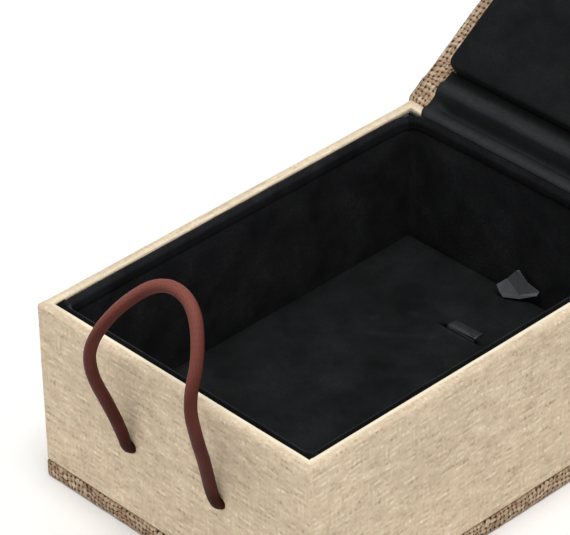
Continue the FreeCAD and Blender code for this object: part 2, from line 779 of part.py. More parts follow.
def make_button_fixing():
    """The cord that ties the button on, and the washer that it is knotted to inside the lid."""
    washer_bottom = f"({LID_BOTTOM} - pad_card + washer_clear)"
    bridge = f"({LID_TOP} + button_gap + button_thickness - button_dish + button_cord_width / 2)"
    legs = [
        rod(
            f"button_cord_{name}_leg",
            "button_cord_width",
            f"{bridge} - {washer_bottom}",
            (f"{sign}button_hole_spacing / 2", BUTTON_Y, washer_bottom),
        )
        for name, sign in (("left", "-"), ("right", ""))
    ]
    across = rod(
        "button_cord_bridge",
        "button_cord_width",
        "button_hole_spacing",
        ("-button_hole_spacing / 2", BUTTON_Y, bridge),
        FreeCAD.Rotation(FreeCAD.Vector(0, 1, 0), 90),
    )
    shoulders = []
    for name, sign in (("left", "-"), ("right", "")):
        ball = doc.addObject("Part::Sphere", f"button_cord_{name}_shoulder")
        bind(ball, "Radius", "button_cord_width / 2")
        bind(ball, "Placement.Base.x", f"{sign}button_hole_spacing / 2")
        bind(ball, "Placement.Base.y", BUTTON_Y)
        bind(ball, "Placement.Base.z", bridge)
        shoulders.append(ball)
    cord = joined("button_cord", [*legs, across, *shoulders])
    keep(open_with_lid(cord), "button_cord")
    disc = rod(
        "washer_disc",
        "washer_width",
        "pad_card + weave - washer_clear",
        ("0", BUTTON_Y, washer_bottom),
    )
    holes = [
        rod(
            f"washer_{name}_hole",
            "button_hole",
            "pad_card + weave + 2 * spare",
            (f"{sign}button_hole_spacing / 2", BUTTON_Y, f"{washer_bottom} - spare"),
        )
        for name, sign in (("left", "-"), ("right", ""))
    ]
    washer = cut("button_washer", disc, holes)
    keep(open_with_lid(washer), "button_washer")


# ---- hinge cloths ----------------------------------------------------------------------------------


def from_edge(offsets, edge_y, edge_z):
    """Side-view points given back and up from an edge."""
    return [(edge_y + back, edge_z + up) for back, up in offsets]


def make_hinge_cloths():
    """The two cloths that join lid and tray, shown as the open lid has them.

    The inner one comes up behind the rear lining, over the rim and the groove, and lies on the
    inside of the lid. The outer one goes from the spine's top to the lid's rear edge.
    """
    cloth = number("cloth")
    rim = number("rim_height")
    rear = number("tray_depth") / 2
    half = number("hinge_cloth_width") / 2
    case_half = number("tray_width") / 2 + number("proud")
    behind_lining = rear - 2 * number("linen") - number("wall_board") - cloth / 2
    low_rim = rim - number("rear_drop") + cloth / 2
    lid_edge = (number("lid_back"), rim + number("lid_gap"))
    inner_route = [
        (behind_lining, rim - number("linen_turn_in")),
        (behind_lining, low_rim),
        *from_edge(INNER_CLOTH_OVER_RIM, rear, rim),
        *(opened(*point) for point in from_edge(INNER_CLOTH_ON_LID, *lid_edge)),
    ]
    strip("inner_hinge_cloth", inner_route, cloth, -half, half)
    outer_route = [
        *from_edge(OUTER_CLOTH_OVER_SPINE, rear, rim),
        *(opened(*point) for point in from_edge(OUTER_CLOTH_ON_LID, *lid_edge)),
    ]
    strip("outer_hinge_cloth", outer_route, number("weave"), -case_half, case_half)


# ---- cord loop -------------------------------------------------------------------------------------


def cord_path(route):
    """Straight runs joined by tangent arcs, and the radius of each arc."""
    points = [FreeCAD.Vector(*point) for point in route]
    edges, radii = [], []
    start = points[0]
    for before, corner, after in zip(points, points[1:], points[2:]):
        back, ahead = before.sub(corner), after.sub(corner)
        reach = ARC_SHARE * min(back.Length, ahead.Length)
        half_turn = (math.pi - back.getAngle(ahead)) / 2
        radius = reach / math.tan(half_turn)
        back.normalize()
        ahead.normalize()
        arc_start, arc_end = corner + back * reach, corner + ahead * reach
        inward = back + ahead
        inward.normalize()
        centre = corner + inward * (radius / math.cos(half_turn))
        arc_middle = centre - inward * radius
        edges.append(Part.LineSegment(start, arc_start).toShape())
        edges.append(Part.Arc(arc_start, arc_middle, arc_end).toShape())
        radii.append(radius)
        start = arc_end
    edges.append(Part.LineSegment(start, points[-1]).toShape())
    return Part.Wire(edges), radii


def make_cord_loop():
    """The visible loop: one tube, with a round end at each hole where the cord bends."""
    path, radii = cord_path(LOOP_ROUTE)
    radius = number("cord") / 2
    start, end = FreeCAD.Vector(*LOOP_ROUTE[0]), FreeCAD.Vector(*LOOP_ROUTE[-1])
    way = FreeCAD.Vector(*LOOP_ROUTE[1]).sub(start)
    section = Part.Wire(Part.Circle(start, way, radius).toShape())
    tube = path.makePipeShell([section], True, False)
    ratio = tube.Volume / (math.pi * radius**2 * path.Length)
    print("loop cord length", round(path.Length, 1), "volume ratio", round(ratio, 4))
    print("loop cord radii", [round(r, 1) for r in radii])
    shape = tube.fuse([Part.makeSphere(radius, start), Part.makeSphere(radius, end)])
    loop = doc.addObject("Part::Feature", "cord_loop")
    loop.Shape = shape
    keep(loop, "cord_loop")


# ---- floor pad -------------------------------------------------------------------------------------

PAD_X = "(tray_width / 2 - 2 * linen - wall_board - lining - floor_gap)"
PAD_FRONT = "(tray_depth / 2 - 2 * linen - wall_board - lining - floor_gap)"
PAD_REAR = "(tray_depth / 2 - 2 * linen - wall_board - lining - floor_rear_gap)"
PAD_TOP = f"({FLOOR_TOP} + floor_pad_depth)"


def slit(label):
    """The slit that the satin ribbon stands in."""
    return block(
        label,
        ("slit_x - slit_length / 2", "slit_x + slit_length / 2"),
        ("slit_y - slit_width / 2", "slit_y + slit_width / 2"),
        (f"{PAD_TOP} - slit_depth", f"{PAD_TOP} + spare"),
    )


def make_floor_pad():
    """Lift-out floor: a card, foam on it, and velvet over both, with a slit near the back."""
    inner_x = (f"-{PAD_X} + velvet", f"{PAD_X} - velvet")
    inner_y = (f"-{PAD_FRONT} + velvet", f"{PAD_REAR} - velvet")
    card = panel(
        "floor_pad_card",
        "XY_Plane",
        f"2 * ({PAD_X} - velvet)",
        f"{PAD_FRONT} + {PAD_REAR} - 2 * velvet",
        "floor_pad_card",
        ("0", f"({PAD_REAR} - {PAD_FRONT}) / 2", FLOOR_TOP),
    )
    keep(card, "floor_pad_card")
    foam_bottom = f"({FLOOR_TOP} + floor_pad_card)"
    foam = block("floor_foam_block", inner_x, inner_y, (foam_bottom, f"{PAD_TOP} - velvet"))
    keep(cut("floor_pad_foam", foam, [slit("floor_foam_slit")]), "floor_pad_foam")
    outside = block(
        "floor_velvet_outside",
        (f"-{PAD_X}", PAD_X),
        (f"-{PAD_FRONT}", PAD_REAR),
        (FLOOR_TOP, PAD_TOP),
    )
    core = block(
        "floor_velvet_core", inner_x, inner_y, (f"{FLOOR_TOP} - spare", f"{PAD_TOP} - velvet")
    )
    velvet = cut("floor_pad_velvet", outside, [core, slit("floor_velvet_slit")])
    keep(velvet, "floor_pad_velvet")


def make_ribbons():
    """Satin ribbon standing in the slit and laid back over its edge, and the folded lift tab."""
    pad_top = number("case_board") + 2 * number("weave") + number("linen")
    pad_top += number("floor_board") + number("floor_pad_depth")
    half = number("ribbon_width") / 2
    fold = [(number("slit_y") + back, pad_top + up) for back, up in RIBBON_FOLD]
    strip(
        "slit_ribbon", fold, number("ribbon"), number("slit_x") - half, number("slit_x") + half
    )
    depth = number("tab_thickness")
    outline = [FreeCAD.Vector(x, -depth / 2, z) for x, z in TAB_OUTLINE]
    plate = Part.Face(Part.makePolygon(outline + outline[:1]))
    tab = doc.addObject("Part::Feature", "lift_tab")
    tab.Shape = plate.extrude(FreeCAD.Vector(0, depth, 0))
    turn = FreeCAD.Rotation(Z_AXIS, number("tab_turn"))
    x, y, above_pad = TAB_FOOT
    tab.Placement = FreeCAD.Placement(FreeCAD.Vector(x, y, pad_top + above_pad), turn)
    keep(tab, "lift_tab")


# ---- build, check and export -------------------------------------------------------------------------


def check_and_export():
    """Stop on any failed object or bad shape, then write one file per piece."""
    doc.recompute()
    for thing in doc.Objects:
        if {"Invalid", "Error"} & set(thing.State):
            raise RuntimeError(f"{thing.Label} failed: {thing.State}")
    for piece in pieces:
        shape = piece.Shape
        if shape.isNull() or not shape.isValid() or not shape.Solids:
            raise RuntimeError(f"{piece.Label} has no valid shape")
    os.makedirs("parts", exist_ok=True)
    for piece in pieces:
        piece.Shape.exportStep(os.path.join("parts", piece.Label + ".step"))
    print(len(pieces), "pieces written")


make_base()
make_spine()
make_tray_boards()
make_tray_linen()
make_linings()
make_cord_ends()
make_lid_case()
make_lid_pad()
make_button()
make_button_fixing()
make_hinge_cloths()
make_cord_loop()
make_floor_pad()
make_ribbons()
check_and_export()
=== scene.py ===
import json
import math

import bmesh
import bpy
from mathutils import Matrix, Vector, noise


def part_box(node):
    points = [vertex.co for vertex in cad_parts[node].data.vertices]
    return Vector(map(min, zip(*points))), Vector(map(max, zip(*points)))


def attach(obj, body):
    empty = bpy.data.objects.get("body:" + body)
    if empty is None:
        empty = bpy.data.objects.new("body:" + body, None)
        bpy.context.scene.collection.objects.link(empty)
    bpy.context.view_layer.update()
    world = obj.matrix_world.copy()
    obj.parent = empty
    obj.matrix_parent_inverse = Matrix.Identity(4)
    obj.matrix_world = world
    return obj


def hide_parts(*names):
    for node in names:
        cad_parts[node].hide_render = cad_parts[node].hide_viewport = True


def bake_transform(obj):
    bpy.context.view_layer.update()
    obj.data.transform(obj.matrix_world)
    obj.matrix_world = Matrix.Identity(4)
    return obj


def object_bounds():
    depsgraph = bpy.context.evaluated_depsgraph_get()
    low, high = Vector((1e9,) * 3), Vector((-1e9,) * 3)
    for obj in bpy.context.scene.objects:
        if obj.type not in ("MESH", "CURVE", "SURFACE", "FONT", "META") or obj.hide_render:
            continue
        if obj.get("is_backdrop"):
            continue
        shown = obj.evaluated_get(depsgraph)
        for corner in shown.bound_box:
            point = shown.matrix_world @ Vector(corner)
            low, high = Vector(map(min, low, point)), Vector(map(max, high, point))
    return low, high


MM = 0.001
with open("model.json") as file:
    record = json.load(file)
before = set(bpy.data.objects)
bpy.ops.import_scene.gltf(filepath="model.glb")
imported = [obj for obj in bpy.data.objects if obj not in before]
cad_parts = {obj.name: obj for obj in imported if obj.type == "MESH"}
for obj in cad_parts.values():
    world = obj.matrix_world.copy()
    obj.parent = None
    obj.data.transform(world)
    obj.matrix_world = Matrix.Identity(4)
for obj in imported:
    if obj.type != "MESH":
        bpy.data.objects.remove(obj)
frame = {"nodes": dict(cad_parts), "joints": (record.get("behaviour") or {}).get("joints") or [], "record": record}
CAD_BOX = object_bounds()

# ---- the box's own places, read from its joints and nodes ----------------------------------------

JOINTS = {joint["name"]: joint for joint in frame["joints"]}
HINGE = Vector(JOINTS["lid_hinge"]["pos_m"])
OPENING = math.radians(JOINTS["lid_hinge"]["range_deg"][1])
OPEN_LID = (
    Matrix.Translation(HINGE) @ Matrix.Rotation(-OPENING, 4, "X") @ Matrix.Translation(-HINGE)
)
CLOSE_LID = OPEN_LID.inverted()


def closed_box(node):
    """Lowest and highest corners of one of the lid's nodes with the lid closed."""
    points = [CLOSE_LID @ vertex.co for vertex in frame["nodes"][node].data.vertices]
    low = Vector(min(point[axis] for point in points) for axis in range(3))
    high = Vector(max(point[axis] for point in points) for axis in range(3))
    return low, high


# ---- camera, lights and floor --------------------------------------------------------------------

CAMERA_PLACE = Vector((607.11, -596.29, 646.53)) * MM
CAMERA_AZIMUTH = math.radians(46.88)
CAMERA_ELEVATION = math.radians(34.71)
CAMERA_ROLL = math.radians(-1.47)
FOCAL_PIXELS = 4020.5
FRAME_PIXELS = 570
SENSOR = 36.0


def make_camera():
    data = bpy.data.cameras.new("camera")
    data.sensor_fit = "HORIZONTAL"
    data.sensor_width = SENSOR
    data.lens = FOCAL_PIXELS / FRAME_PIXELS * SENSOR
    data.clip_start = 0.05
    data.clip_end = 20.0
    camera = bpy.data.objects.new("camera", data)
    back = Vector(
        (
            math.sin(CAMERA_AZIMUTH) * math.cos(CAMERA_ELEVATION),
            -math.cos(CAMERA_AZIMUTH) * math.cos(CAMERA_ELEVATION),
            math.sin(CAMERA_ELEVATION),
        )
    )
    level = Vector((math.cos(CAMERA_AZIMUTH), math.sin(CAMERA_AZIMUTH), 0.0))
    above = back.cross(level)
    right = level * math.cos(CAMERA_ROLL) + above * math.sin(CAMERA_ROLL)
    up = above * math.cos(CAMERA_ROLL) - level * math.sin(CAMERA_ROLL)
    axes = Matrix((right, up, back)).transposed().to_4x4()
    camera.matrix_world = Matrix.Translation(CAMERA_PLACE) @ axes
    bpy.context.scene.collection.objects.link(camera)
    bpy.context.scene.camera = camera


def make_light(name, towards, strength, spread_angle):
    """A far, broad light that shines from a direction."""
    data = bpy.data.lights.new(name, "SUN")
    data.energy = strength
    data.angle = math.radians(spread_angle)
    light = bpy.data.objects.new(name, data)
    light.rotation_euler = Vector(towards).to_track_quat("Z", "Y").to_euler()
    bpy.context.scene.collection.objects.link(light)


def make_studio():
    """Even white surroundings, a broad light overhead and a white floor."""
    world = bpy.data.worlds.new("studio")
    world.use_nodes = True
    world.node_tree.nodes["Background"].inputs["Color"].default_value = (1.0, 1.0, 1.0, 1)
    world.node_tree.nodes["Background"].inputs["Strength"].default_value = 0.52
    bpy.context.scene.world = world
    bpy.context.scene.view_settings.view_transform = "Standard"
    make_light("overhead", (0.12, -0.10, 1.0), 1.92, 32)
    data = bpy.data.meshes.new("floor")
    bm = bmesh.new()
    bmesh.ops.create_grid(bm, x_segments=1, y_segments=1, size=6.0)
    bm.to_mesh(data)
    bm.free()
    floor = bpy.data.objects.new("floor", data)
    bpy.context.scene.collection.objects.link(floor)
    material = bpy.data.materials.new("white floor")
    material.use_nodes = True
    shader = material.node_tree.nodes["Principled BSDF"]
    shader.inputs["Base Color"].default_value = (0.93, 0.93, 0.925, 1)
    shader.inputs["Roughness"].default_value = 0.9
    shader.inputs["Specular IOR Level"].default_value = 0.1
    data.materials.append(material)
    floor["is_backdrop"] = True


# ---- shader helpers ------------------------------------------------------------------------------


def wire(tree, socket, value):
    """Give a socket a constant or another node's output."""
    if isinstance(value, bpy.types.NodeSocket):
        tree.links.new(value, socket)
    else:
        socket.default_value = value


def add(tree, kind, settings=None, inputs=None):
    node = tree.nodes.new("ShaderNode" + kind)
    for name, value in (settings or {}).items():
        setattr(node, name, value)
    for name, value in (inputs or {}).items():
        wire(tree, node.inputs[name], value)
    return node


def calc(tree, operation, *values):
    """One math node's result."""
    node = add(tree, "Math", {"operation": operation}, dict(enumerate(values)))
    return node.outputs[0]


def vector_calc(tree, operation, *values, scale=None):
    node = add(tree, "VectorMath", {"operation": operation}, dict(enumerate(values)))
    if scale is not None:
        wire(tree, node.inputs["Scale"], scale)
    return node.outputs[0]


def noise_value(tree, vector, scale, detail=2.0, roughness=0.5, output="Fac"):
    node = add(
        tree,
        "TexNoise",
        None,
        {"Vector": vector, "Scale": scale, "Detail": detail, "Roughness": roughness},
    )
    return node.outputs[output]


def spread(tree, value, low, high, to_low=0.0, to_high=1.0):
    """The value's range low to high, stretched to another, and clamped there."""
    node = add(
        tree,
        "MapRange",
        None,
        {"Value": value, "From Min": low, "From Max": high, "To Min": to_low, "To Max": to_high},
    )
    return node.outputs[0]


def blend_colour(tree, factor, first, second, kind="MIX"):
    node = add(tree, "Mix", {"data_type": "RGBA", "blend_type": kind})
    wire(tree, node.inputs[0], factor)
    wire(tree, node.inputs[6], first)
    wire(tree, node.inputs[7], second)
    return node.outputs[2]


def ramp(tree, value, stops):
    """A colour ramp from (place, colour) stops."""
    node = add(tree, "ValToRGB", None, {"Fac": value})
    band = node.color_ramp
    while len(band.elements) < len(stops):
        band.elements.new(0.5)
    for element, (place, colour) in zip(band.elements, stops):
        element.position = place
        element.color = (*colour, 1)
    return node.outputs["Color"]


def new_group(name, inputs, outputs):
    """A shader group with named inputs, each with its default, and named outputs."""
    group = bpy.data.node_groups.new(name, "ShaderNodeTree")
    for label, kind, default in inputs:
        socket = group.interface.new_socket(label, in_out="INPUT", socket_type=kind)
        if default is not None:
            socket.default_value = default
    for label, kind in outputs:
        group.interface.new_socket(label, in_out="OUTPUT", socket_type=kind)
    start = group.nodes.new("NodeGroupInput")
    end = group.nodes.new("NodeGroupOutput")
    return group, start, end


def place_group(tree, group, inputs):
    node = tree.nodes.new("ShaderNodeGroup")
    node.node_tree = group
    for name, value in inputs.items():
        wire(tree, node.inputs[name], value)
    return node


def new_material(name, **constants):
    """A material and its tree and Principled shader, with constants set on the shader."""
    material = bpy.data.materials.new(name)
    material.use_nodes = True
    shader = material.node_tree.nodes["Principled BSDF"]
    for label, value in constants.items():
        shader.inputs[label.replace("_", " ")].default_value = value
    return material, material.node_tree, shader


def bump(tree, shader, height, strength, distance):
    node = add(
        tree, "Bump", None, {"Height": height, "Strength": strength, "Distance": distance}
    )
    wire(tree, shader.inputs["Normal"], node.outputs["Normal"])


def own_uv(tree):
    return add(tree, "UVMap", {"uv_map": "cloth"}).outputs["UV"]


def object_place(tree):
    return add(tree, "TexCoord").outputs["Object"]


# ---- shared effects ------------------------------------------------------------------------------


def weave_group():
    """Plain weave: threads over and under, each of its own tone, wandering a little."""
    group, start, end = new_group(
        "plain weave",
        [
            ("Place", "NodeSocketVector", None),
            ("Thread", "NodeSocketFloat", 0.0005),
            ("Wander", "NodeSocketFloat", 0.3),
            ("Slub", "NodeSocketFloat", 0.2),
            ("Change", "NodeSocketFloat", 0.14),
            ("Weft", "NodeSocketFloat", 0.0),
        ],
        [
            ("Height", "NodeSocketFloat"),
            ("Tone", "NodeSocketFloat"),
            ("Gap", "NodeSocketFloat"),
            ("Hole", "NodeSocketFloat"),
        ],
    )
    per_metre = calc(group, "DIVIDE", 1.0, start.outputs["Thread"])
    place = vector_calc(group, "SCALE", start.outputs["Place"], scale=per_metre)
    drift = noise_value(group, place, 0.16, 2.0, 0.6, "Color")
    drift = vector_calc(group, "SUBTRACT", drift, (0.5, 0.5, 0.5))
    reach = calc(group, "MULTIPLY", start.outputs["Wander"], 6.0)
    drift = vector_calc(group, "SCALE", drift, scale=reach)
    place = vector_calc(group, "ADD", place, drift)
    split = add(group, "SeparateXYZ", None, {0: place})
    across, along = split.outputs["X"], split.outputs["Y"]
    warp_row = calc(group, "FLOOR", across)
    weft_row = calc(group, "FLOOR", along)
    warp_crown = calc(group, "SINE", calc(group, "MULTIPLY", calc(group, "FRACT", across), math.pi))
    weft_crown = calc(group, "SINE", calc(group, "MULTIPLY", calc(group, "FRACT", along), math.pi))
    over = calc(group, "FLOORED_MODULO", calc(group, "ADD", warp_row, weft_row), 2.0)
    tones, heights = [], []
    for row, run, crown, dive, seed in (
        (weft_row, across, weft_crown, warp_crown, 17.0),
        (warp_row, along, warp_crown, weft_crown, 3.0),
    ):
        key = calc(group, "ADD", calc(group, "MULTIPLY", row, 3.71), seed)
        slow = calc(group, "MULTIPLY", run, start.outputs["Change"])
        spot = add(group, "CombineXYZ", None, {0: slow, 1: key, 2: seed}).outputs[0]
        tone = noise_value(group, spot, 1.0, 3.0, 0.65)
        tones.append(spread(group, tone, 0.28, 0.72))
        bow = calc(group, "ADD", calc(group, "MULTIPLY", dive, 0.55), 0.45)
        thick = calc(group, "MULTIPLY", tones[-1], start.outputs["Slub"])
        body = calc(group, "MULTIPLY", calc(group, "POWER", crown, 0.7), bow)
        heights.append(calc(group, "ADD", body, thick))
    mostly_weft = calc(group, "SUBTRACT", 1.0, start.outputs["Weft"])
    mostly_weft = calc(group, "MULTIPLY", over, mostly_weft)
    for name, share, (weft, warp) in (("Height", over, heights), ("Tone", mostly_weft, tones)):
        mixed = add(group, "Mix", {"data_type": "FLOAT"}, {0: share, 2: weft, 3: warp})
        wire(group, end.inputs[name], mixed.outputs[0])
        if name == "Height":
            gap = spread(group, mixed.outputs[0], 0.12, 0.55, 1.0, 0.0)
            wire(group, end.inputs["Gap"], gap)
    beside_warp = calc(group, "SUBTRACT", 1.0, warp_crown)
    beside_weft = calc(group, "SUBTRACT", 1.0, weft_crown)
    wire(group, end.inputs["Hole"], calc(group, "MULTIPLY", beside_warp, beside_weft))
    return group


def fibre_group():
    """Short crossed fibres, as in felt, velvet pile or greyboard."""
    group, start, end = new_group(
        "fibres",
        [("Place", "NodeSocketVector", None), ("Size", "NodeSocketFloat", 0.0004)],
        [("Grain", "NodeSocketFloat"), ("Cloud", "NodeSocketFloat")],
    )
    per_metre = calc(group, "DIVIDE", 1.0, start.outputs["Size"])
    place = vector_calc(group, "SCALE", start.outputs["Place"], scale=per_metre)
    fine = noise_value(group, place, 1.0, 4.0, 0.7)
    wide = noise_value(group, place, 0.035, 3.0, 0.6)
    wire(group, end.inputs["Grain"], spread(group, fine, 0.3, 0.7))
    wire(group, end.inputs["Cloud"], spread(group, wide, 0.3, 0.7))
    return group


# ---- materials -----------------------------------------------------------------------------------


def linen_material(weave, fibres):
    """Natural linen: fine uneven threads, some thick and pale, glued flat, with a painted highlight along the
    rim's inner edge.
    """
    material, tree, shader = new_material("natural linen", Roughness=0.9)
    shader.inputs["Specular IOR Level"].default_value = 0.25
    place = own_uv(tree)
    cloth = place_group(
        tree,
        weave,
        {
            "Place": place,
            "Thread": 0.0008,
            "Wander": 0.35,
            "Slub": 0.5,
            "Change": 0.13,
            "Weft": 0.45,
        },
    )
    patches = place_group(tree, fibres, {"Place": place, "Size": 0.0009})
    colour = ramp(
        tree,
        cloth.outputs["Tone"],
        [
            (0.0, (0.42, 0.325, 0.220)),
            (0.35, (0.655, 0.520, 0.368)),
            (0.7, (0.795, 0.650, 0.477)),
            (1.0, (0.95, 0.83, 0.66)),
        ],
    )
    shade = spread(tree, patches.outputs["Cloud"], 0.0, 1.0, 0.92, 1.07)
    # Painted shade: the gaps between threads are darker.
    gap = spread(tree, cloth.outputs["Gap"], 0.0, 1.0, 1.0, 0.86)
    tint = calc(tree, "MULTIPLY", shade, gap)
    tint = add(tree, "CombineColor", None, {0: tint, 1: tint, 2: tint}).outputs[0]
    colour = blend_colour(tree, 1.0, colour, tint, "MULTIPLY")
    stains = place_group(tree, fibres, {"Place": place, "Size": 0.00007})
    pinkish, greenish = (1.03, 0.985, 0.99, 1), (0.97, 1.01, 0.98, 1)
    stain = blend_colour(tree, stains.outputs["Cloud"], pinkish, greenish)
    colour = blend_colour(tree, 1.0, colour, stain, "MULTIPLY")
    # Painted highlight: the rim's inner edge is blended towards pale cream, as if lit.
    rim_highlight = add(tree, "Attribute", {"attribute_name": "rim_highlight"}).outputs["Fac"]
    colour = blend_colour(tree, rim_highlight, colour, (0.93, 0.855, 0.655, 1))
    wire(tree, shader.inputs["Base Color"], colour)
    bump(tree, shader, cloth.outputs["Height"], 0.5, 0.00013)
    return material


def case_material(weave, fibres):
    """Coarse case cloth: thick brown, beige and dark threads with open gaps."""
    material, tree, shader = new_material("coarse case cloth", Roughness=0.9)
    shader.inputs["Specular IOR Level"].default_value = 0.2
    place = own_uv(tree)
    cloth = place_group(
        tree,
        weave,
        {"Place": place, "Thread": 0.00155, "Wander": 0.5, "Slub": 0.35, "Change": 0.9},
    )
    fine = place_group(tree, fibres, {"Place": place, "Size": 0.00022})
    colour = ramp(
        tree,
        cloth.outputs["Tone"],
        [
            (0.0, (0.17, 0.095, 0.050)),
            (0.3, (0.33, 0.205, 0.125)),
            (0.55, (0.50, 0.355, 0.235)),
            (0.8, (0.66, 0.52, 0.37)),
            (1.0, (0.80, 0.68, 0.51)),
        ],
    )
    # Painted light and shade: thread crowns paler, their low parts darker, and the holes between threads nearly
    # black as shade.
    bead = spread(tree, cloth.outputs["Height"], 0.1, 0.7, 0.55, 1.08)
    hole = spread(tree, cloth.outputs["Hole"], 0.12, 0.5, 1.0, 0.12)
    grain = spread(tree, fine.outputs["Grain"], 0.0, 1.0, 0.8, 1.15)
    tint = calc(tree, "MULTIPLY", calc(tree, "MULTIPLY", grain, bead), hole)
    tint = add(tree, "CombineColor", None, {0: tint, 1: tint, 2: tint}).outputs[0]
    wire(tree, shader.inputs["Base Color"], blend_colour(tree, 1.0, colour, tint, "MULTIPLY"))
    height = calc(
        tree,
        "ADD",
        cloth.outputs["Height"],
        calc(tree, "MULTIPLY", fine.outputs["Grain"], 0.18),
    )
    bump(tree, shader, height, 0.9, 0.00035)
    return material


def velvet_material(name, fibres, dark, light):
    """Short black pile, lighter or darker by an attribute that holds painted light and shade, and on the floor pad
    also its own uneven tone.
    """
    material, tree, shader = new_material(name, Roughness=1.0)
    shader.inputs["Specular IOR Level"].default_value = 0.08
    pile = place_group(tree, fibres, {"Place": object_place(tree), "Size": 0.0004})
    mix = calc(tree, "MULTIPLY", pile.outputs["Grain"], pile.outputs["Cloud"])
    colour = blend_colour(tree, mix, (*dark, 1), (*light, 1))
    # The attribute holds painted light and shade, and on the floor pad also the pile's uneven tone.
    pile_tone_and_painted_light = add(tree, "Attribute", {"attribute_name": "pile_tone_and_painted_light"}).outputs["Fac"]
    tint = spread(tree, pile_tone_and_painted_light, -1.0, 4.0, 0.0, 5.0)
    tint = add(tree, "CombineColor", None, {0: tint, 1: tint, 2: tint}).outputs[0]
    wire(tree, shader.inputs["Base Color"], blend_colour(tree, 1.0, colour, tint, "MULTIPLY"))
    bump(tree, shader, pile.outputs["Grain"], 0.4, 0.00015)
    return material


def satin_material(weave, fibres):
    """Black satin-faced cloth with a fine weave, a soft shine, and painted light and shade along its folds."""
    material, tree, shader = new_material("black satin cloth", Roughness=0.6)
    shader.inputs["Specular IOR Level"].default_value = 0.12
    place = own_uv(tree)
    cloth = place_group(
        tree,
        weave,
        {"Place": place, "Thread": 0.00028, "Wander": 0.2, "Slub": 0.2, "Change": 0.2},
    )
    soft = place_group(tree, fibres, {"Place": place, "Size": 0.0015})
    colour = ramp(
        tree,
        cloth.outputs["Tone"],
        [(0.0, (0.012, 0.013, 0.014)), (1.0, (0.028, 0.030, 0.032))],
    )
    # Painted light and shade along the cloth's folds: paler on crests, darker in the groove.
    fold_light = add(tree, "Attribute", {"attribute_name": "fold_light"}).outputs["Fac"]
    shade = spread(tree, fold_light, 0.0, 1.0, 0.3, 1.15)
    tint = add(tree, "CombineColor", None, {0: shade, 1: shade, 2: shade}).outputs[0]
    wire(tree, shader.inputs["Base Color"], blend_colour(tree, 1.0, colour, tint, "MULTIPLY"))
    wire(
        tree,
        shader.inputs["Roughness"],
        spread(tree, soft.outputs["Cloud"], 0.0, 1.0, 0.5, 0.68),
    )
    bump(tree, shader, cloth.outputs["Height"], 0.3, 0.00006)
    return material


def ribbon_material(name, weave, dark, light):
    """Satin ribbon, its threads along its length."""
    material, tree, shader = new_material(name, Roughness=0.45)
    cloth = place_group(
        tree,
        weave,
        {
            "Place": own_uv(tree),
            "Thread": 0.00025,
            "Wander": 0.1,
            "Slub": 0.15,
            "Change": 0.1,
        },
    )
    colour = ramp(tree, cloth.outputs["Tone"], [(0.0, dark), (1.0, light)])
    wire(tree, shader.inputs["Base Color"], colour)
    bump(tree, shader, cloth.outputs["Height"], 0.25, 0.00005)
    return material


def cord_material(fibres):
    """Waxed red-brown cord: a fine braid under wax, with a painted highlight along its upper side and painted
    shade low down.
    """
    material, tree, shader = new_material("waxed cord", Roughness=0.5)
    shader.inputs["Specular IOR Level"].default_value = 0.08
    split = add(tree, "SeparateXYZ", None, {0: own_uv(tree)})
    around = calc(tree, "MULTIPLY", split.outputs["X"], 12.0 * 2 * math.pi)
    along = calc(tree, "MULTIPLY", split.outputs["Y"], 2100.0)
    first = calc(tree, "SINE", calc(tree, "ADD", around, along))
    second = calc(tree, "SINE", calc(tree, "SUBTRACT", around, along))
    braid = spread(tree, calc(tree, "MAXIMUM", first, second), -0.6, 1.0)
    wax = place_group(tree, fibres, {"Place": object_place(tree), "Size": 0.0006})
    dark = ramp(
        tree,
        wax.outputs["Cloud"],
        [(0.0, (0.066, 0.015, 0.011)), (0.5, (0.092, 0.022, 0.016)), (1.0, (0.116, 0.030, 0.022))],
    )
    # Painted highlight on the cord's upper side, and painted shade where the attribute is below zero.
    cord_light = add(tree, "Attribute", {"attribute_name": "cord_light"}).outputs["Fac"]
    colour = blend_colour(tree, cord_light, dark, (0.225, 0.074, 0.056, 1))
    shade = spread(tree, braid, 0.0, 1.0, 0.86, 1.04)
    shade = calc(tree, "MULTIPLY", shade, spread(tree, cord_light, -1.0, 0.0, 0.4, 1.0))
    tint = add(tree, "CombineColor", None, {0: shade, 1: shade, 2: shade}).outputs[0]
    wire(tree, shader.inputs["Base Color"], blend_colour(tree, 1.0, colour, tint, "MULTIPLY"))
    wire(
        tree,
        shader.inputs["Roughness"],
        spread(tree, wax.outputs["Grain"], 0.0, 1.0, 0.44, 0.6),
    )
    bump(tree, shader, braid, 0.2, 0.00006)
    return material


def board_material(name, fibres, dark, light):
    """Pressed greyboard or card with flecks of pulp."""
    material, tree, shader = new_material(name, Roughness=0.9)
    pulp = place_group(tree, fibres, {"Place": object_place(tree), "Size": 0.0005})
    fleck = calc(tree, "MULTIPLY", pulp.outputs["Grain"], 0.7)
    fleck = calc(tree, "ADD", fleck, calc(tree, "MULTIPLY", pulp.outputs["Cloud"], 0.3))
    wire(tree, shader.inputs["Base Color"], blend_colour(tree, fleck, (*dark, 1), (*light, 1)))
    bump(tree, shader, pulp.outputs["Grain"], 0.3, 0.00005)
    return material


def foam_material():
    """Grey open-cell foam."""
    material, tree, shader = new_material("padding foam", Roughness=0.95)
    cells = add(
        tree,
        "TexVoronoi",
        {"feature": "DISTANCE_TO_EDGE"},
        {"Vector": object_place(tree), "Scale": 1800.0},
    ).outputs["Distance"]
    wall = spread(tree, cells, 0.0, 0.2)
    wire(
        tree,
        shader.inputs["Base Color"],
        blend_colour(tree, wall, (0.35, 0.35, 0.36, 1), (0.18, 0.18, 0.19, 1)),
    )
    bump(tree, shader, wall, 0.5, 0.0001)
    return material


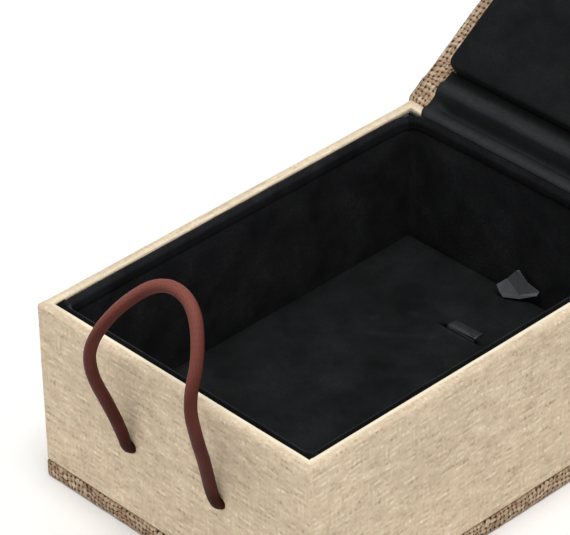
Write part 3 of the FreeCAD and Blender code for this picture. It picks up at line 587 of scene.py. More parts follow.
def wood_material(fibres):
    """Turned dark wood with rings and pores, oiled."""
    material, tree, shader = new_material("turned wood", Roughness=0.45, Coat_Weight=0.2)
    place = object_place(tree)
    rings = add(
        tree,
        "TexWave",
        {"wave_type": "BANDS", "bands_direction": "X"},
        {"Vector": place, "Scale": 190.0, "Distortion": 5.0, "Detail": 3.0},
    ).outputs["Fac"]
    pores = place_group(tree, fibres, {"Place": place, "Size": 0.00025})
    colour = ramp(
        tree,
        rings,
        [(0.0, (0.115, 0.052, 0.024)), (0.5, (0.22, 0.11, 0.05)), (1.0, (0.33, 0.18, 0.09))],
    )
    dark = spread(tree, pores.outputs["Grain"], 0.0, 1.0, 0.7, 1.1)
    tint = add(tree, "CombineColor", None, {0: dark, 1: dark, 2: dark}).outputs[0]
    wire(tree, shader.inputs["Base Color"], blend_colour(tree, 1.0, colour, tint, "MULTIPLY"))
    bump(tree, shader, pores.outputs["Grain"], 0.2, 0.00004)
    return material


def make_materials():
    weave, fibres = weave_group(), fibre_group()
    return {
        "linen": linen_material(weave, fibres),
        "case": case_material(weave, fibres),
        "lining": velvet_material(
            "black lining velvet", fibres, (0.013, 0.0135, 0.015), (0.046, 0.047, 0.050)
        ),
        "pad": velvet_material(
            "black pad velvet", fibres, (0.007, 0.0075, 0.008), (0.021, 0.022, 0.0225)
        ),
        "satin": satin_material(weave, fibres),
        "ribbon": ribbon_material(
            "black satin ribbon", weave, (0.012, 0.013, 0.014), (0.032, 0.034, 0.037)
        ),
        # The tab's copy of the ribbon satin is paler to stand in for the light it catches: painted light.
        "tab": ribbon_material(
            "satin tab painted paler", weave, (0.070, 0.074, 0.080), (0.120, 0.125, 0.135)
        ),
        "cord": cord_material(fibres),
        "board": board_material("greyboard", fibres, (0.30, 0.28, 0.25), (0.52, 0.49, 0.44)),
        "card": board_material("black card", fibres, (0.02, 0.02, 0.02), (0.05, 0.05, 0.05)),
        "foam": foam_material(),
        "wood": wood_material(fibres),
    }


# ---- mesh helpers --------------------------------------------------------------------------------


def box_mesh(low, high):
    """A bmesh box between two corners."""
    bm = bmesh.new()
    bmesh.ops.create_cube(bm, size=1.0)
    size = Vector(high) - Vector(low)
    bmesh.ops.scale(bm, vec=size, verts=bm.verts)
    bmesh.ops.translate(bm, vec=(Vector(low) + Vector(high)) / 2, verts=bm.verts)
    return bm


def edge_way(edge):
    return (edge.verts[1].co - edge.verts[0].co).normalized()


def bevel(bm, edges, width, segments):
    bmesh.ops.bevel(
        bm,
        geom=list(edges),
        offset=width,
        affect="EDGES",
        segments=segments,
        profile=0.5,
        material=-1,
        clamp_overlap=True,
    )


def upright_edges(bm):
    return [edge for edge in bm.edges if abs(edge_way(edge).z) > 0.99]


def slice_mesh(bm, axis, low, high, step):
    """Cut a mesh across one axis at even steps, so that it can be shaped."""
    count = max(1, round((high - low) / step))
    normal = Vector((axis == 0, axis == 1, axis == 2))
    for index in range(1, count):
        place = low + (high - low) * index / count
        bmesh.ops.bisect_plane(
            bm,
            geom=bm.verts[:] + bm.edges[:] + bm.faces[:],
            plane_co=normal * place,
            plane_no=normal,
        )


def add_uv(bm):
    """Cloth coordinates in metres: each face takes them from the plane that it faces."""
    layer = bm.loops.layers.uv.new("cloth")
    for face in bm.faces:
        normal = face.normal
        sizes = [abs(value) for value in normal]
        facing = sizes.index(max(sizes))
        for loop in face.loops:
            x, y, z = loop.vert.co
            loop[layer].uv = ((y, z), (x, z), (x, y))[facing]


def finish_piece(bm, name, material, smooth=True, opened=False):
    """Turn a bmesh into a named piece of the object, at the origin."""
    if opened:
        bmesh.ops.transform(bm, matrix=OPEN_LID, verts=bm.verts)
    data = bpy.data.meshes.new(name)
    bm.to_mesh(data)
    bm.free()
    data.materials.append(material)
    if smooth:
        data.shade_smooth()
    piece = bpy.data.objects.new(name, data)
    bpy.context.scene.collection.objects.link(piece)
    return piece


def add_modifier(piece, kind, name, **settings):
    modifier = piece.modifiers.new(name, kind)
    for label, value in settings.items():
        setattr(modifier, label, value)
    return modifier


def apply_modifiers(piece):
    """Replace the piece's mesh by what its modifiers make of it."""
    evaluated = piece.evaluated_get(bpy.context.evaluated_depsgraph_get())
    data = bpy.data.meshes.new_from_object(evaluated)
    piece.modifiers.clear()
    old = piece.data
    piece.data = data
    bpy.data.meshes.remove(old)


def ripple(point, scale, seed):
    """Smooth noise between -1 and 1 at a point."""
    return noise.noise(Vector(point) * scale + Vector((seed, seed * 1.7, seed * 0.3)))


def place_piece(piece, body, slot_name, *nodes):
    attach(piece, body)
    if nodes:
        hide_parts(*nodes)
    return piece


# ---- tray: linen, base and spine cloth -----------------------------------------------------------

LINEN = 0.35 * MM
WALL = 3.35 * MM
TURN_IN = 15 * MM
TURN_UNDER = 12 * MM
REAR_DROP = 0.5 * MM
CORNER = 0.8 * MM
SWELL = 0.12 * MM
RIM_OUTER = 1.45 * MM
# The share of the rim's painted highlight that the left wall's rim lacks.
LEFT_RIM_HIGHLIGHT_CUT = 0.55
RIM_INNER = 0.5 * MM
HOLE = 1.8 * MM
HOLES = [Vector((-15.7, -68.37, 27.5)) * MM, Vector((17.3, -68.37, 27.5)) * MM]
HINGE_HALF = 44 * MM


def smooth_step(value, low, high):
    share = min(1.0, max(0.0, (value - low) / (high - low)))
    return share * share * (3 - 2 * share)


def arc(inset, z, radius, first, last, count):
    """Points (inset, z) of an arc round a centre, its angles in degrees up from outwards."""
    angles = [math.radians(first + (last - first) * step / count) for step in range(count + 1)]
    return [(inset - radius * math.cos(turn), z + radius * math.sin(turn)) for turn in angles]


def ring(bm, low, high, inset, z, corner):
    """The edges of a level rectangle with rounded corners, inset from a box's outline."""
    known = set(bm.faces)
    left, right = low.x + inset, high.x - inset
    front, back = low.y + inset, high.y - inset
    corners = [
        bm.verts.new((x, y, z))
        for x, y in ((left, front), (right, front), (right, back), (left, back))
    ]
    bm.faces.new(corners)
    bmesh.ops.bevel(
        bm,
        geom=corners,
        offset=corner,
        affect="VERTICES",
        segments=4,
        profile=0.5,
        material=-1,
    )
    made = [face for face in bm.faces if face not in known]
    edges = list({edge for face in made for edge in face.edges})
    bmesh.ops.delete(bm, geom=made, context="FACES_ONLY")
    return edges


def slice_near(bm, place, normal, near):
    """Cut only the faces whose middles pass a test."""
    faces = [face for face in bm.faces if near(face.calc_center_median())]
    edges = {edge for face in faces for edge in face.edges}
    verts = {vertex for face in faces for vertex in face.verts}
    bmesh.ops.bisect_plane(
        bm, geom=[*faces, *edges, *verts], plane_co=place, plane_no=normal
    )


def cut_hole(bm, centre, radius):
    """A round hole in the front wall, its edge drawn in a little."""
    reach = 1.6 * radius

    def near(middle):
        flat = abs(middle.y - centre.y) < 0.1 * MM
        return flat and max(abs(middle.x - centre.x), abs(middle.z - centre.z)) < 5 * radius

    for normal in (Vector((1, 0, 0)), Vector((0, 0, 1))):
        for side in (-reach, reach):
            slice_near(bm, centre + normal * side, normal, near)
    inside = [
        face
        for face in bm.faces
        if near(face.calc_center_median())
        and abs(face.calc_center_median().x - centre.x) < reach
        and abs(face.calc_center_median().z - centre.z) < reach
    ]
    patch = bmesh.ops.dissolve_faces(bm, faces=inside, use_verts=False)["region"]
    bmesh.ops.subdivide_edges(bm, edges=patch[0].edges, cuts=2)
    for shrink, pull in ((1.25, 0.0), (1.08, 0.10), (1.0, 0.35)):
        bmesh.ops.inset_region(
            bm, faces=patch, thickness=0.05 * radius, use_boundary=True, use_even_offset=False
        )
        for vertex in patch[0].verts:
            away = Vector((vertex.co.x - centre.x, 0, vertex.co.z - centre.z)).normalized()
            vertex.co = centre + away * radius * shrink + Vector((0, pull * MM, 0))
    bmesh.ops.delete(bm, geom=patch, context="FACES_ONLY")


def fold_corners(bm, low, high):
    """At each corner of the rim one wall's linen lies over the other's, with a slanting edge."""
    moves = {}
    for corner_x, turn_x in ((low.x, 1), (high.x, -1)):
        for corner_y, turn_y in ((low.y, 1), (high.y, -1)):
            corner = Vector((corner_x, corner_y, high.z))
            inwards = Vector((turn_x, turn_y, 0)).normalized()
            across = Vector((-turn_y, turn_x, 0)).normalized() * turn_x * turn_y

            def near(middle):
                return (middle - corner).length < 7 * MM and middle.z > high.z - 2 * MM

            for offset in (-0.2, 0.2, 0.9):
                slice_near(bm, corner + across * offset * MM, across, near)
            for vertex in bm.verts:
                offset = vertex.co - corner
                if offset.length > 8 * MM or offset.dot(inwards) > 5.2 * MM:
                    continue
                vertex.co -= offset * 0.3 * math.exp(-((offset.length / (1.6 * MM)) ** 2))
                beside = offset.dot(across) / MM
                high_enough = smooth_step(vertex.co.z, high.z - 1.6 * MM, high.z - 0.2 * MM)
                over = 0.20 * math.exp(-((max(beside, 0) / 2.2) ** 2)) if beside > 0.1 else 0.0
                dent = 0.06 * math.exp(-(((beside + 0.2) / 0.5) ** 2))
                moves[vertex] = (over - dent) * high_enough * MM
    for vertex, move in moves.items():
        vertex.co.z += move


def wrap_uv(bm, low, high):
    """Cloth coordinates that run along each wall and up over its rim."""
    layer = bm.loops.layers.uv.new("cloth")
    turn = WALL - RIM_INNER
    for face in bm.faces:
        middle = face.calc_center_median()
        from_side = min(middle.x - low.x, high.x - middle.x)
        from_end = min(middle.y - low.y, high.y - middle.y)
        on_side = from_side < from_end
        for loop in face.loops:
            x, y, z = loop.vert.co
            inset = min(x - low.x, high.x - x) if on_side else min(y - low.y, high.y - y)
            up = 2 * high.z - z + inset if inset > turn and z > low.z + WALL else z + inset
            loop[layer].uv = (y if on_side else x, up)


def make_linen(materials):
    """The tray's linen: turned under the bottom, up the walls, over the rim and down inside."""
    low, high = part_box("tray_linen")
    top = high.z + SWELL
    bm = bmesh.new()
    profile = [
        (TURN_UNDER, low.z),
        (0.7 * MM, low.z),
        (0.1 * MM, low.z + 0.12 * MM),
        (-0.16 * MM, low.z + 0.5 * MM),
        (-0.14 * MM, low.z + 1.0 * MM),
        (-SWELL, low.z + 1.8 * MM),
        *arc(RIM_OUTER - SWELL, top - RIM_OUTER, RIM_OUTER, 0, 90, 6),
        *arc(WALL - RIM_INNER, top - RIM_INNER, RIM_INNER, 90, 180, 3),
        (WALL, high.z - TURN_IN),
    ]
    before = None
    for inset, z in profile:
        edges = ring(bm, low, high, inset, z, max(CORNER - inset, 0.3 * MM))
        if before:
            bmesh.ops.bridge_loops(bm, edges=before + edges)
        before = edges
    bmesh.ops.recalc_face_normals(bm, faces=bm.faces)
    for axis, step in ((0, 4 * MM), (1, 4 * MM), (2, 5 * MM)):
        slice_mesh(bm, axis, low[axis], high[axis], step)
    for inset in (1.7 * MM, 2.1 * MM, 2.5 * MM):
        for side in (Vector((1, 0, 0)), Vector((0, 1, 0))):
            for corner, inwards in ((low, 1), (high, -1)):
                slice_near(bm, corner + side * inset * inwards, side, lambda at: at.z > high.z)
    for hole in HOLES:
        cut_hole(bm, hole, HOLE)
    fold_corners(bm, low, high)
    bmesh.ops.recalc_face_normals(bm, faces=bm.faces)
    wrap_uv(bm, low, high)
    bm.normal_update()
    rim_highlight = bm.verts.layers.float.new("rim_highlight")
    moves = []
    for vertex in bm.verts:
        x, y, z = vertex.co
        inset = min(x - low.x, high.x - x, y - low.y, high.y - y)
        on_rim = smooth_step(z, high.z - 1.8 * MM, high.z - 0.3 * MM)
        # The rim's inner edge gets a painted highlight, weaker on the left wall's rim.
        inner = math.exp(-(((inset - WALL + 0.7 * MM) / (0.75 * MM)) ** 2)) * on_rim
        at_left = 1 - smooth_step(x, low.x + WALL, low.x + 3 * WALL)
        highlight_share = 1 - LEFT_RIM_HIGHLIGHT_CUT * at_left
        vertex[rim_highlight] = inner * highlight_share * (0.9 + 0.25 * ripple(vertex.co, 300, 3.0))
        wave = ripple(vertex.co, 45, 7.0) * 0.05 + ripple(vertex.co, 160, 2.0) * 0.02
        lift = on_rim * ripple(vertex.co, 60, 2.0) * 0.05
        at_back = smooth_step(y, high.y - WALL - 0.6 * MM, high.y - WALL + 0.3 * MM)
        between = 1 - smooth_step(abs(x), HINGE_HALF + 0.3 * MM, high.x - WALL)
        drop = REAR_DROP * at_back * between * smooth_step(z, high.z - 3 * MM, high.z - 1 * MM)
        near_hole = min((vertex.co - hole).length for hole in HOLES) < 3 * MM
        moves.append(
            vertex.normal * (0.0 if near_hole else wave) * MM + Vector((0, 0, lift * MM - drop))
        )
    for vertex, move in zip(bm.verts, moves):
        vertex.co += move
        vertex.co.z = min(vertex.co.z, high.z + 0.14 * MM)
    piece = finish_piece(bm, "linen_cover", materials["linen"])
    add_modifier(piece, "SOLIDIFY", "cloth thickness", thickness=LINEN, offset=-1.0)
    return place_piece(piece, "tray", "natural_linen", "tray_linen")


def case_box(low, high, edge, step):
    """A cloth-covered board: a box with soft edges, fine enough to be lumpy."""
    bm = box_mesh(low, high)
    bevel(bm, bm.edges[:], edge, 3)
    for axis in range(3):
        if high[axis] - low[axis] > 3 * step:
            slice_mesh(bm, axis, low[axis] + edge, high[axis] - edge, step)
    add_uv(bm)
    bm.normal_update()
    moves = []
    for vertex in bm.verts:
        lump = ripple(vertex.co, 90, 4.0) * 0.08 + ripple(vertex.co, 420, 6.0) * 0.13
        moves.append(vertex.normal * lump * MM)
    for vertex, move in zip(bm.verts, moves):
        vertex.co += move
    return bm


def make_case(materials):
    """Coarse cloth on base, spine and lid."""
    low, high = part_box("base_cover")
    bm = case_box(low, high, 0.9 * MM, 2 * MM)
    for vertex in bm.verts:
        vertex.co.z = max(vertex.co.z, 0.0)
    base = finish_piece(bm, "base_cloth", materials["case"])
    place_piece(base, "tray", "case_weave", "base_cover")
    low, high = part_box("spine_cover")
    spine = finish_piece(case_box(low, high, 0.9 * MM, 2 * MM), "spine_cloth", materials["case"])
    place_piece(spine, "tray", "case_weave", "spine_cover")
    low, high = closed_box("lid_cover")
    bm = case_box(low, high, 0.9 * MM, 1.5 * MM)
    for vertex in bm.verts:
        vertex.co.z = max(vertex.co.z, low.z)
    lid = finish_piece(bm, "lid_cloth", materials["case"], opened=True)
    place_piece(lid, "lid", "case_weave", "lid_cover")


# ---- linings and pads ----------------------------------------------------------------------------

COVE = 2.4 * MM
BEAD_FOOT = 50.9 * MM
BEAD_TOP = 54.9 * MM
CORNER_DIP = 1.0 * MM
FRONT_CORNER_DIP = 0.2 * MM
# Painted shade in the crack between the lining's roll and the linen.
CRACK_SHADE = 0.8
# How far the top edge's painted highlight reaches from the middle of a side wall and of an end wall.
SIDE_EDGE_HALF = 64.9 * MM
END_EDGE_HALF = 46.65 * MM
# Each wall's lining: the way its velvet looks along its thin axis, how far its rolled top edge stands off the
# wall, how wide the crack behind it is, the painted shade on its roll, and the painted highlight on its top edge.
LININGS = {
    "left": (1, 2.12 * MM, 0.9 * MM, -0.1, 0.0),
    "right": (-1, 2.55 * MM, 1.4 * MM, 0.0, 4.0),
    "front": (1, 2.6 * MM, 1.4 * MM, 0.0, 3.5),
    "rear": (-1, 2.1 * MM, 0.9 * MM, -0.5, 0.0),
}


def lining_panel(low, high, side, materials):
    """A velvet panel over thin fleece, with a rolled top edge that dips towards its ends."""
    facing, roll, crack, roll_shade, edge_highlight = LININGS[side]
    axis = 0 if high.x - low.x < high.y - low.y else 1
    run = 1 - axis
    depth = high[axis] - low[axis]
    wall = low[axis] if facing > 0 else high[axis]
    bead = [
        (depth, BEAD_FOOT - 1.2 * MM),
        (depth - 0.1 * MM, BEAD_FOOT),
        (depth + 0.45 * (roll - depth), BEAD_FOOT + 0.35 * MM),
        (roll, BEAD_FOOT + 1.5 * MM),
        (roll - 0.1 * MM, BEAD_TOP - 1.2 * MM),
        (roll - 0.8 * MM, BEAD_TOP - 0.25 * MM),
        (0.55 * roll, BEAD_TOP),
        (0.2 * roll, BEAD_TOP - 0.15 * MM),
        (0.0, BEAD_TOP - 0.7 * MM),
    ]
    outline = [(0.0, low.z), (depth, low.z), *smooth_route(bead, 28)]
    bm = bmesh.new()
    points = []
    for reach, z in outline:
        point = Vector((0, 0, z))
        point[axis] = wall + facing * reach
        point[run] = low[run]
        points.append(bm.verts.new(point))
    end = bm.faces.new(points)
    grown = bmesh.ops.extrude_face_region(bm, geom=[end])["geom"]
    shift = Vector((0, 0, 0))
    shift[run] = high[run] - low[run]
    bmesh.ops.translate(
        bm, vec=shift, verts=[item for item in grown if isinstance(item, bmesh.types.BMVert)]
    )
    bmesh.ops.recalc_face_normals(bm, faces=bm.faces)
    slice_mesh(bm, run, low[run], high[run], 1.5 * MM)
    slice_mesh(bm, 2, low.z, BEAD_FOOT - 1.2 * MM, 2.4 * MM)
    add_uv(bm)
    pile_tone_and_painted_light = bm.verts.layers.float.new("pile_tone_and_painted_light")
    middle = (low[run] + high[run]) / 2
    half = (high[run] - low[run]) / 2
    hidden = 0.0 if axis == 0 else depth
    edge_half = SIDE_EDGE_HALF if axis == 0 else END_EDGE_HALF
    for vertex in bm.verts:
        reach = facing * (vertex.co[axis] - wall)
        from_end = half - hidden - abs(vertex.co[run] - middle)
        swell = 1 - math.exp(-((max(from_end, 0.0) / (16 * MM)) ** 2))
        front = smooth_step(reach, 0.3 * depth, 0.8 * depth)
        beaded = smooth_step(vertex.co.z, BEAD_FOOT, BEAD_FOOT + 1.5 * MM)
        on_top = smooth_step(vertex.co.z, BEAD_TOP - 2.4 * MM, BEAD_TOP - 1.2 * MM)
        in_crack = on_top * (1 - smooth_step(reach, crack - 0.4 * MM, crack + 0.2 * MM))
        on_edge = on_top * smooth_step(reach, crack + 0.1 * MM, crack + 0.5 * MM)
        from_corner = edge_half - abs(vertex.co[run])
        on_edge *= smooth_step(from_corner, 1.5 * MM, 4 * MM)
        # Painted light on the lining: shade on the roll, a highlight along the top edge, and shade in the crack
        # behind it.
        tone = roll_shade * smooth_step(vertex.co.z, BEAD_FOOT - 3 * MM, BEAD_FOOT + 1 * MM)
        vertex[pile_tone_and_painted_light] = tone + edge_highlight * on_edge - CRACK_SHADE * in_crack
        puff = ripple(vertex.co, 60, 1.0 + axis) * 0.10 + ripple(vertex.co, 22, 5.0) * 0.12
        puff *= smooth_step(BEAD_TOP - vertex.co.z, 0, 5 * MM)
        at_back = smooth_step(vertex.co.y, -10 * MM, 10 * MM)
        thinner = (roll - depth) * 0.6 * (1 - swell) * beaded * at_back
        vertex.co[axis] += facing * front * (puff * MM - thinner)
        dip = CORNER_DIP if vertex.co.y > 0 else FRONT_CORNER_DIP
        fold = math.exp(-((max(from_end, 0.0) / (3.2 * MM)) ** 2))
        high_up = smooth_step(vertex.co.z, BEAD_FOOT - 8 * MM, BEAD_TOP - 0.5 * MM)
        vertex.co.z -= (dip * fold - 0.12 * MM * swell) * high_up
        vertex.co.z += 0.1 * MM * ripple(vertex.co, 120, 9.0) * high_up
        if axis == 1 and from_end < COVE:
            near = min(COVE - from_end, COVE)
            cove = COVE - math.sqrt(COVE**2 - near**2)
            vertex.co.y += facing * front * cove * 0.7
    return finish_piece(bm, f"{side}_lining", materials["lining"])


def make_linings(materials):
    """The four walls' linings, which ride with the tray."""
    for side in LININGS:
        low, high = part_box(f"{side}_lining_velvet")
        piece = lining_panel(low, high, side, materials)
        place_piece(piece, "tray", "black_velvet", f"{side}_lining_velvet")


PLUMP = 0.16 * MM


def pad_mesh(low, high, corner, edge, step):
    """A flat pad with rounded corners and soft edges, sliced finely."""
    plump = Vector((1, 1, 1)) * PLUMP
    bm = box_mesh(low - plump, high + plump)
    if corner:
        bevel(bm, upright_edges(bm), corner, 5)
    rims = [
        edge_
        for edge_ in bm.edges
        if abs(edge_way(edge_).z) < 0.5
        and any(abs(face.normal.z) > 0.9 for face in edge_.link_faces)
    ]
    bevel(bm, rims, edge, 4)
    for axis in (0, 1):
        slice_mesh(bm, axis, low[axis] + edge, high[axis] - edge, step)
    return bm


def make_lid_pad(materials):
    """The lid's padded panel, crowned towards the inside of the box."""
    low, high = closed_box("lid_pad_velvet")
    bm = pad_mesh(low, high, 3.0 * MM, 1.2 * MM, 2.2 * MM)
    add_uv(bm)
    centre = (low + high) / 2
    size = high - low
    for vertex in bm.verts:
        if vertex.co.z < centre.z:
            u = abs(vertex.co.x - centre.x) / (size.x / 2)
            v = abs(vertex.co.y - centre.y) / (size.y / 2)
            edge_fall = 1 - max(u, v) ** 6
            puff = 0.25 + 0.35 * ripple(vertex.co, 28, 3.0) + 0.15 * ripple(vertex.co, 80, 6.0)
            vertex.co.z -= edge_fall * puff * MM * 0.6
    piece = finish_piece(bm, "lid_pad", materials["pad"], opened=True)
    place_piece(piece, "lid", "black_velvet", "lid_pad_velvet")


SLIT = Vector((-0.5, 36.1, 16.4)) * MM
SLIT_LENGTH = 12 * MM
# Painted light and shade on the floor's pile, in millimetres: from, to, half width, and how pale, negative for
# painted shade. They are lighter streaks where creases catch the light, a dark crease, and broad paler and darker
# zones.
PAD_MARKS = [
    ((-17.9, 20.0), (-4.6, 29.8), 0.9, 0.40),
    ((-22.9, 25.0), (-21.9, 25.6), 1.1, 0.50),
    ((-15.6, 34.2), (-14.6, 34.8), 1.1, 0.40),
    ((-7.5, 10.0), (-4.5, 12.0), 2.6, -0.40),
    ((14.0, -20.0), (22.0, 4.0), 5.0, -0.22),
    ((-24.0, -12.0), (-6.0, -2.0), 5.0, 0.20),
]


def painted_floor_light(x, y):
    """How much paler the floor's pile is painted at a place, from the painted marks."""
    tone = 0.0
    place = Vector((x, y)) / MM
    for start, end, half_width, strength in PAD_MARKS:
        start, way = Vector(start), Vector(end) - Vector(start)
        share = min(1.0, max(0.0, (place - start).dot(way) / way.length_squared))
        beside = (place - start - way * share).length / half_width
        tone += strength * math.exp(-(beside**2))
    return tone


def make_floor_pad(materials):
    """The lift-out floor: soft edges, a shallow crown and a dip along its slit, with painted light: crease
    streaks, a dark slit and a lit front lip.
    """
    low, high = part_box("floor_pad_velvet")
    bm = pad_mesh(low, high, 0, 1.4 * MM, 1.6 * MM)
    for offset in (-1.6, -1.1, -0.7, -0.42, -0.3, -0.15, 0.15, 0.3, 0.42, 0.7, 1.1, 1.6):
        slice_near(
            bm,
            SLIT + Vector((0, offset * MM, 0)),
            Vector((0, 1, 0)),
            lambda middle: abs(middle.x - SLIT.x) < 9 * MM
            and abs(middle.y - SLIT.y) < 4 * MM
            and middle.z > high.z - 0.5 * MM,
        )
    add_uv(bm)
    pile_tone_and_painted_light = bm.verts.layers.float.new("pile_tone_and_painted_light")
    centre = (low + high) / 2
    size = high - low
    for vertex in bm.verts:
        if vertex.co.z < centre.z:
            continue
        x, y = vertex.co.xy
        u = abs(x - centre.x) / (size.x / 2)
        v = abs(y - centre.y) / (size.y / 2)
        edge_fall = 1 - max(u, v) ** 8
        puff = 0.32 + 0.28 * ripple(vertex.co, 24, 9.0) + 0.14 * ripple(vertex.co, 90, 2.0)
        across = (y - SLIT.y) / MM
        beside = max(0.0, abs(x - SLIT.x) - SLIT_LENGTH / 2) / MM
        ends = math.exp(-((beside / 1.2) ** 2))
        lip = 0.35 * math.exp(-(((abs(across) - 1.3) / 0.6) ** 2))
        inside = 1 - smooth_step(abs(x - SLIT.x), SLIT_LENGTH / 2 - 1.2 * MM, SLIT_LENGTH / 2)
        gash = 3.0 * (1 - smooth_step(abs(across), 0.15, 0.42)) * inside
        vertex.co.z += (edge_fall * puff + lip * ends - gash) * MM
        # Painted shade in the slit and a painted highlight on its front lip, over a random mottle.
        in_slit = (1 - smooth_step(abs(across), 0.3, 1.0)) * ends
        front_lip = math.exp(-(((across + 1.3) / 0.35) ** 2)) * ends
        mottle_and_painted_light = 0.35 * ripple(vertex.co, 70, 6.0) + painted_floor_light(x, y)
        vertex[pile_tone_and_painted_light] = front_lip * 0.5 - in_slit + mottle_and_painted_light
    piece = finish_piece(bm, "floor_pad", materials["pad"])
    place_piece(piece, "floor_pad", "black_velvet", "floor_pad_velvet")


# ---- hinge cloths --------------------------------------------------------------------------------

CLOTH_THICKNESS = 0.25 * MM
WEAVE_THICKNESS = 0.5 * MM


def strip_sheet(route, left, right, step, lift, fold_light=None):
    """A cloth strip along a side-view route, from left to right, as a closed thin sheet.

    Lift moves each point of the sheet, given its place across and how far along it is. The fold_light function
    gives the cloth's painted light and shade there, and goes into an attribute of that name.
    """
    bm = bmesh.new()
    points = [Vector((left, y, z)) for y, z in route]
    row = [bm.verts.new(point) for point in points]
    edges = [bm.edges.new(pair) for pair in zip(row, row[1:])]
    count = round((right - left) / step)
    for _ in range(count):
        grown = bmesh.ops.extrude_edge_only(bm, edges=edges)["geom"]
        edges = [item for item in grown if isinstance(item, bmesh.types.BMEdge)
                 and abs(edge_way(item).x) < 0.01]
        moved = [item for item in grown if isinstance(item, bmesh.types.BMVert)]
        bmesh.ops.translate(bm, vec=((right - left) / count, 0, 0), verts=moved)
    bmesh.ops.recalc_face_normals(bm, faces=bm.faces)
    lengths = [0.0]
    for before, after in zip(points, points[1:]):
        lengths.append(lengths[-1] + (after - before).length)
    layer = bm.loops.layers.uv.new("cloth")
    fold_light_layer = bm.verts.layers.float.new("fold_light")

    def along(place):
        nearest = min(range(len(points)), key=lambda i: (points[i].yz - place.yz).length)
        return lengths[nearest]

    at = {vertex: along(vertex.co) for vertex in bm.verts}
    for face in bm.faces:
        for loop in face.loops:
            loop[layer].uv = (loop.vert.co.x, at[loop.vert])
    if fold_light:
        for vertex in bm.verts:
            vertex[fold_light_layer] = fold_light(vertex.co, at[vertex] / lengths[-1])
    bm.normal_update()
    moves = {vertex: lift(vertex.co, at[vertex] / lengths[-1]) for vertex in bm.verts}
    for vertex, move in moves.items():
        vertex.co += move
    return bm


def smooth_route(points, count):
    """A smooth line through a few side-view points, evenly resampled."""
    fine = []
    padded_points = [points[0], *points, points[-1]]
    for a, b, c, d in zip(
        padded_points, padded_points[1:], padded_points[2:], padded_points[3:]
    ):
        for index in range(12):
            t = index / 12
            fine.append(
                tuple(
                    0.5
                    * (
                        2 * q
                        + (r - p) * t
                        + (2 * p - 5 * q + 4 * r - s) * t * t
                        + (3 * q - p - 3 * r + s) * t**3
                    )
                    for p, q, r, s in zip(a, b, c, d)
                )
            )
    fine.append(points[-1])
    gaps = [math.dist(a, b) for a, b in zip(fine, fine[1:])]
    total = sum(gaps)
    result, walked, index = [fine[0]], 0.0, 0
    for step in range(1, count):
        target = total * step / count
        while walked + gaps[index] < target:
            walked += gaps[index]
            index += 1
        share = (target - walked) / gaps[index]
        a, b = fine[index], fine[index + 1]
        result.append(tuple(p + (q - p) * share for p, q in zip(a, b)))
    return [*result, fine[-1]]


def opened_side(y, z):
    """A side-view point of the closed lid, in millimetres, where the open lid has it."""
    point = OPEN_LID @ Vector((0, y * MM, z * MM))
    return point.y, point.z


def route_length(route):
    return sum(math.dist(a, b) for a, b in zip(route, route[1:]))


def shares(route):
    """How far along a route each of its points is, from 0 to 1."""
    walked = [0.0]
    for before, after in zip(route, route[1:]):
        walked.append(walked[-1] + math.dist(before, after))
    return [length / walked[-1] for length in walked]


def between(place, places, values):
    """The value at a place, from the values at rising places."""
    for low, high, first, second in zip(places, places[1:], values, values[1:]):
        if place <= high:
            return first + (second - first) * (place - low) / (high - low)
    return values[-1]


# The black hinge cloth from the side, in millimetres, and its painted light there, pale on the crests and painted
# shade in the groove: over the rim and into the groove, and then along the lid, as the closed lid has it.
CLOTH_OVER_RIM = [
    (64.78, 47.0, 0.4),
    (64.78, 53.4, 0.5),
    (65.0, 54.6, 0.85),
    (65.9, 55.3, 1.1),
    (67.1, 55.35, 0.8),
    (68.3, 55.15, 0.6),
    (69.1, 54.5, 0.4),
    (70.1, 54.25, 0.25),
    (70.9, 54.9, 0.1),
    (71.5, 56.6, 0.1),
    (71.95, 58.2, 0.4),
]
CLOTH_ON_LID = [
    (68.5, 54.0, 0.95),
    (67.5, 53.8, 0.9),
    (66.4, 54.1, 1.1),
    (65.4, 54.7, 0.8),
    (64.4, 54.85, 0.1),
    (61.9, 54.85, 0.0),
]


# How high its sides are above the groove's bottom, where they are glued to the case cloth.
CLOTH_SIDE_LIFT = [0, 0, 0, 0, 0, 0.1, 1.15, 2.0, 2.0, 1.0, 0.3, 0, 0, 0, 0, 0, 0]


def make_inner_hinge_cloth(materials):
    """Black cloth from behind the rear lining, over the rim and the groove, to the lid's pad."""
    low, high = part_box("inner_hinge_cloth")
    route = [(y * MM, z * MM) for y, z, _ in CLOTH_OVER_RIM]
    route += [opened_side(y, z) for y, z, _ in CLOTH_ON_LID]
    fold_light_levels = [value for _, _, value in CLOTH_OVER_RIM + CLOTH_ON_LID]
    smooth = smooth_route(route, 56)
    places = shares(route)

    def lift(place, share):
        wave = ripple(place, 80, 8.0) * 0.5 + ripple(place, 190, 1.0) * 0.12
        fade = min(1.0, share * 4, (1 - share) * 2.5)
        side = smooth_step(abs(place.x), 37 * MM, 43 * MM)
        raised = between(share, places, CLOTH_SIDE_LIFT) * side
        over_rim = 1 - smooth_step(share, 0.24, 0.42)
        narrower = -1.4 * math.copysign(side * over_rim, place.x)
        return Vector((narrower, -0.25 * wave * fade, 0.55 * wave * fade + raised)) * MM

    # Painted light and shade along the cloth, with a little noise.
    def fold_light(place, share):
        drift = 0.02 * ripple(place, 70, 5.0) + 0.012 * ripple(place, 190, 2.0)
        return between(share + drift, places, fold_light_levels) * (1.05 + 0.35 * ripple(place, 110, 5.0))

    bm = strip_sheet(smooth, low.x, high.x, 1.4 * MM, lift, fold_light)
    piece = finish_piece(bm, "inner_hinge_cloth_sheet", materials["satin"])
    add_modifier(piece, "SOLIDIFY", "cloth thickness", thickness=CLOTH_THICKNESS, offset=0.0)
    apply_modifiers(piece)
    route_length(smooth)
    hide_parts("inner_hinge_cloth")
    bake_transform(piece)
    return piece


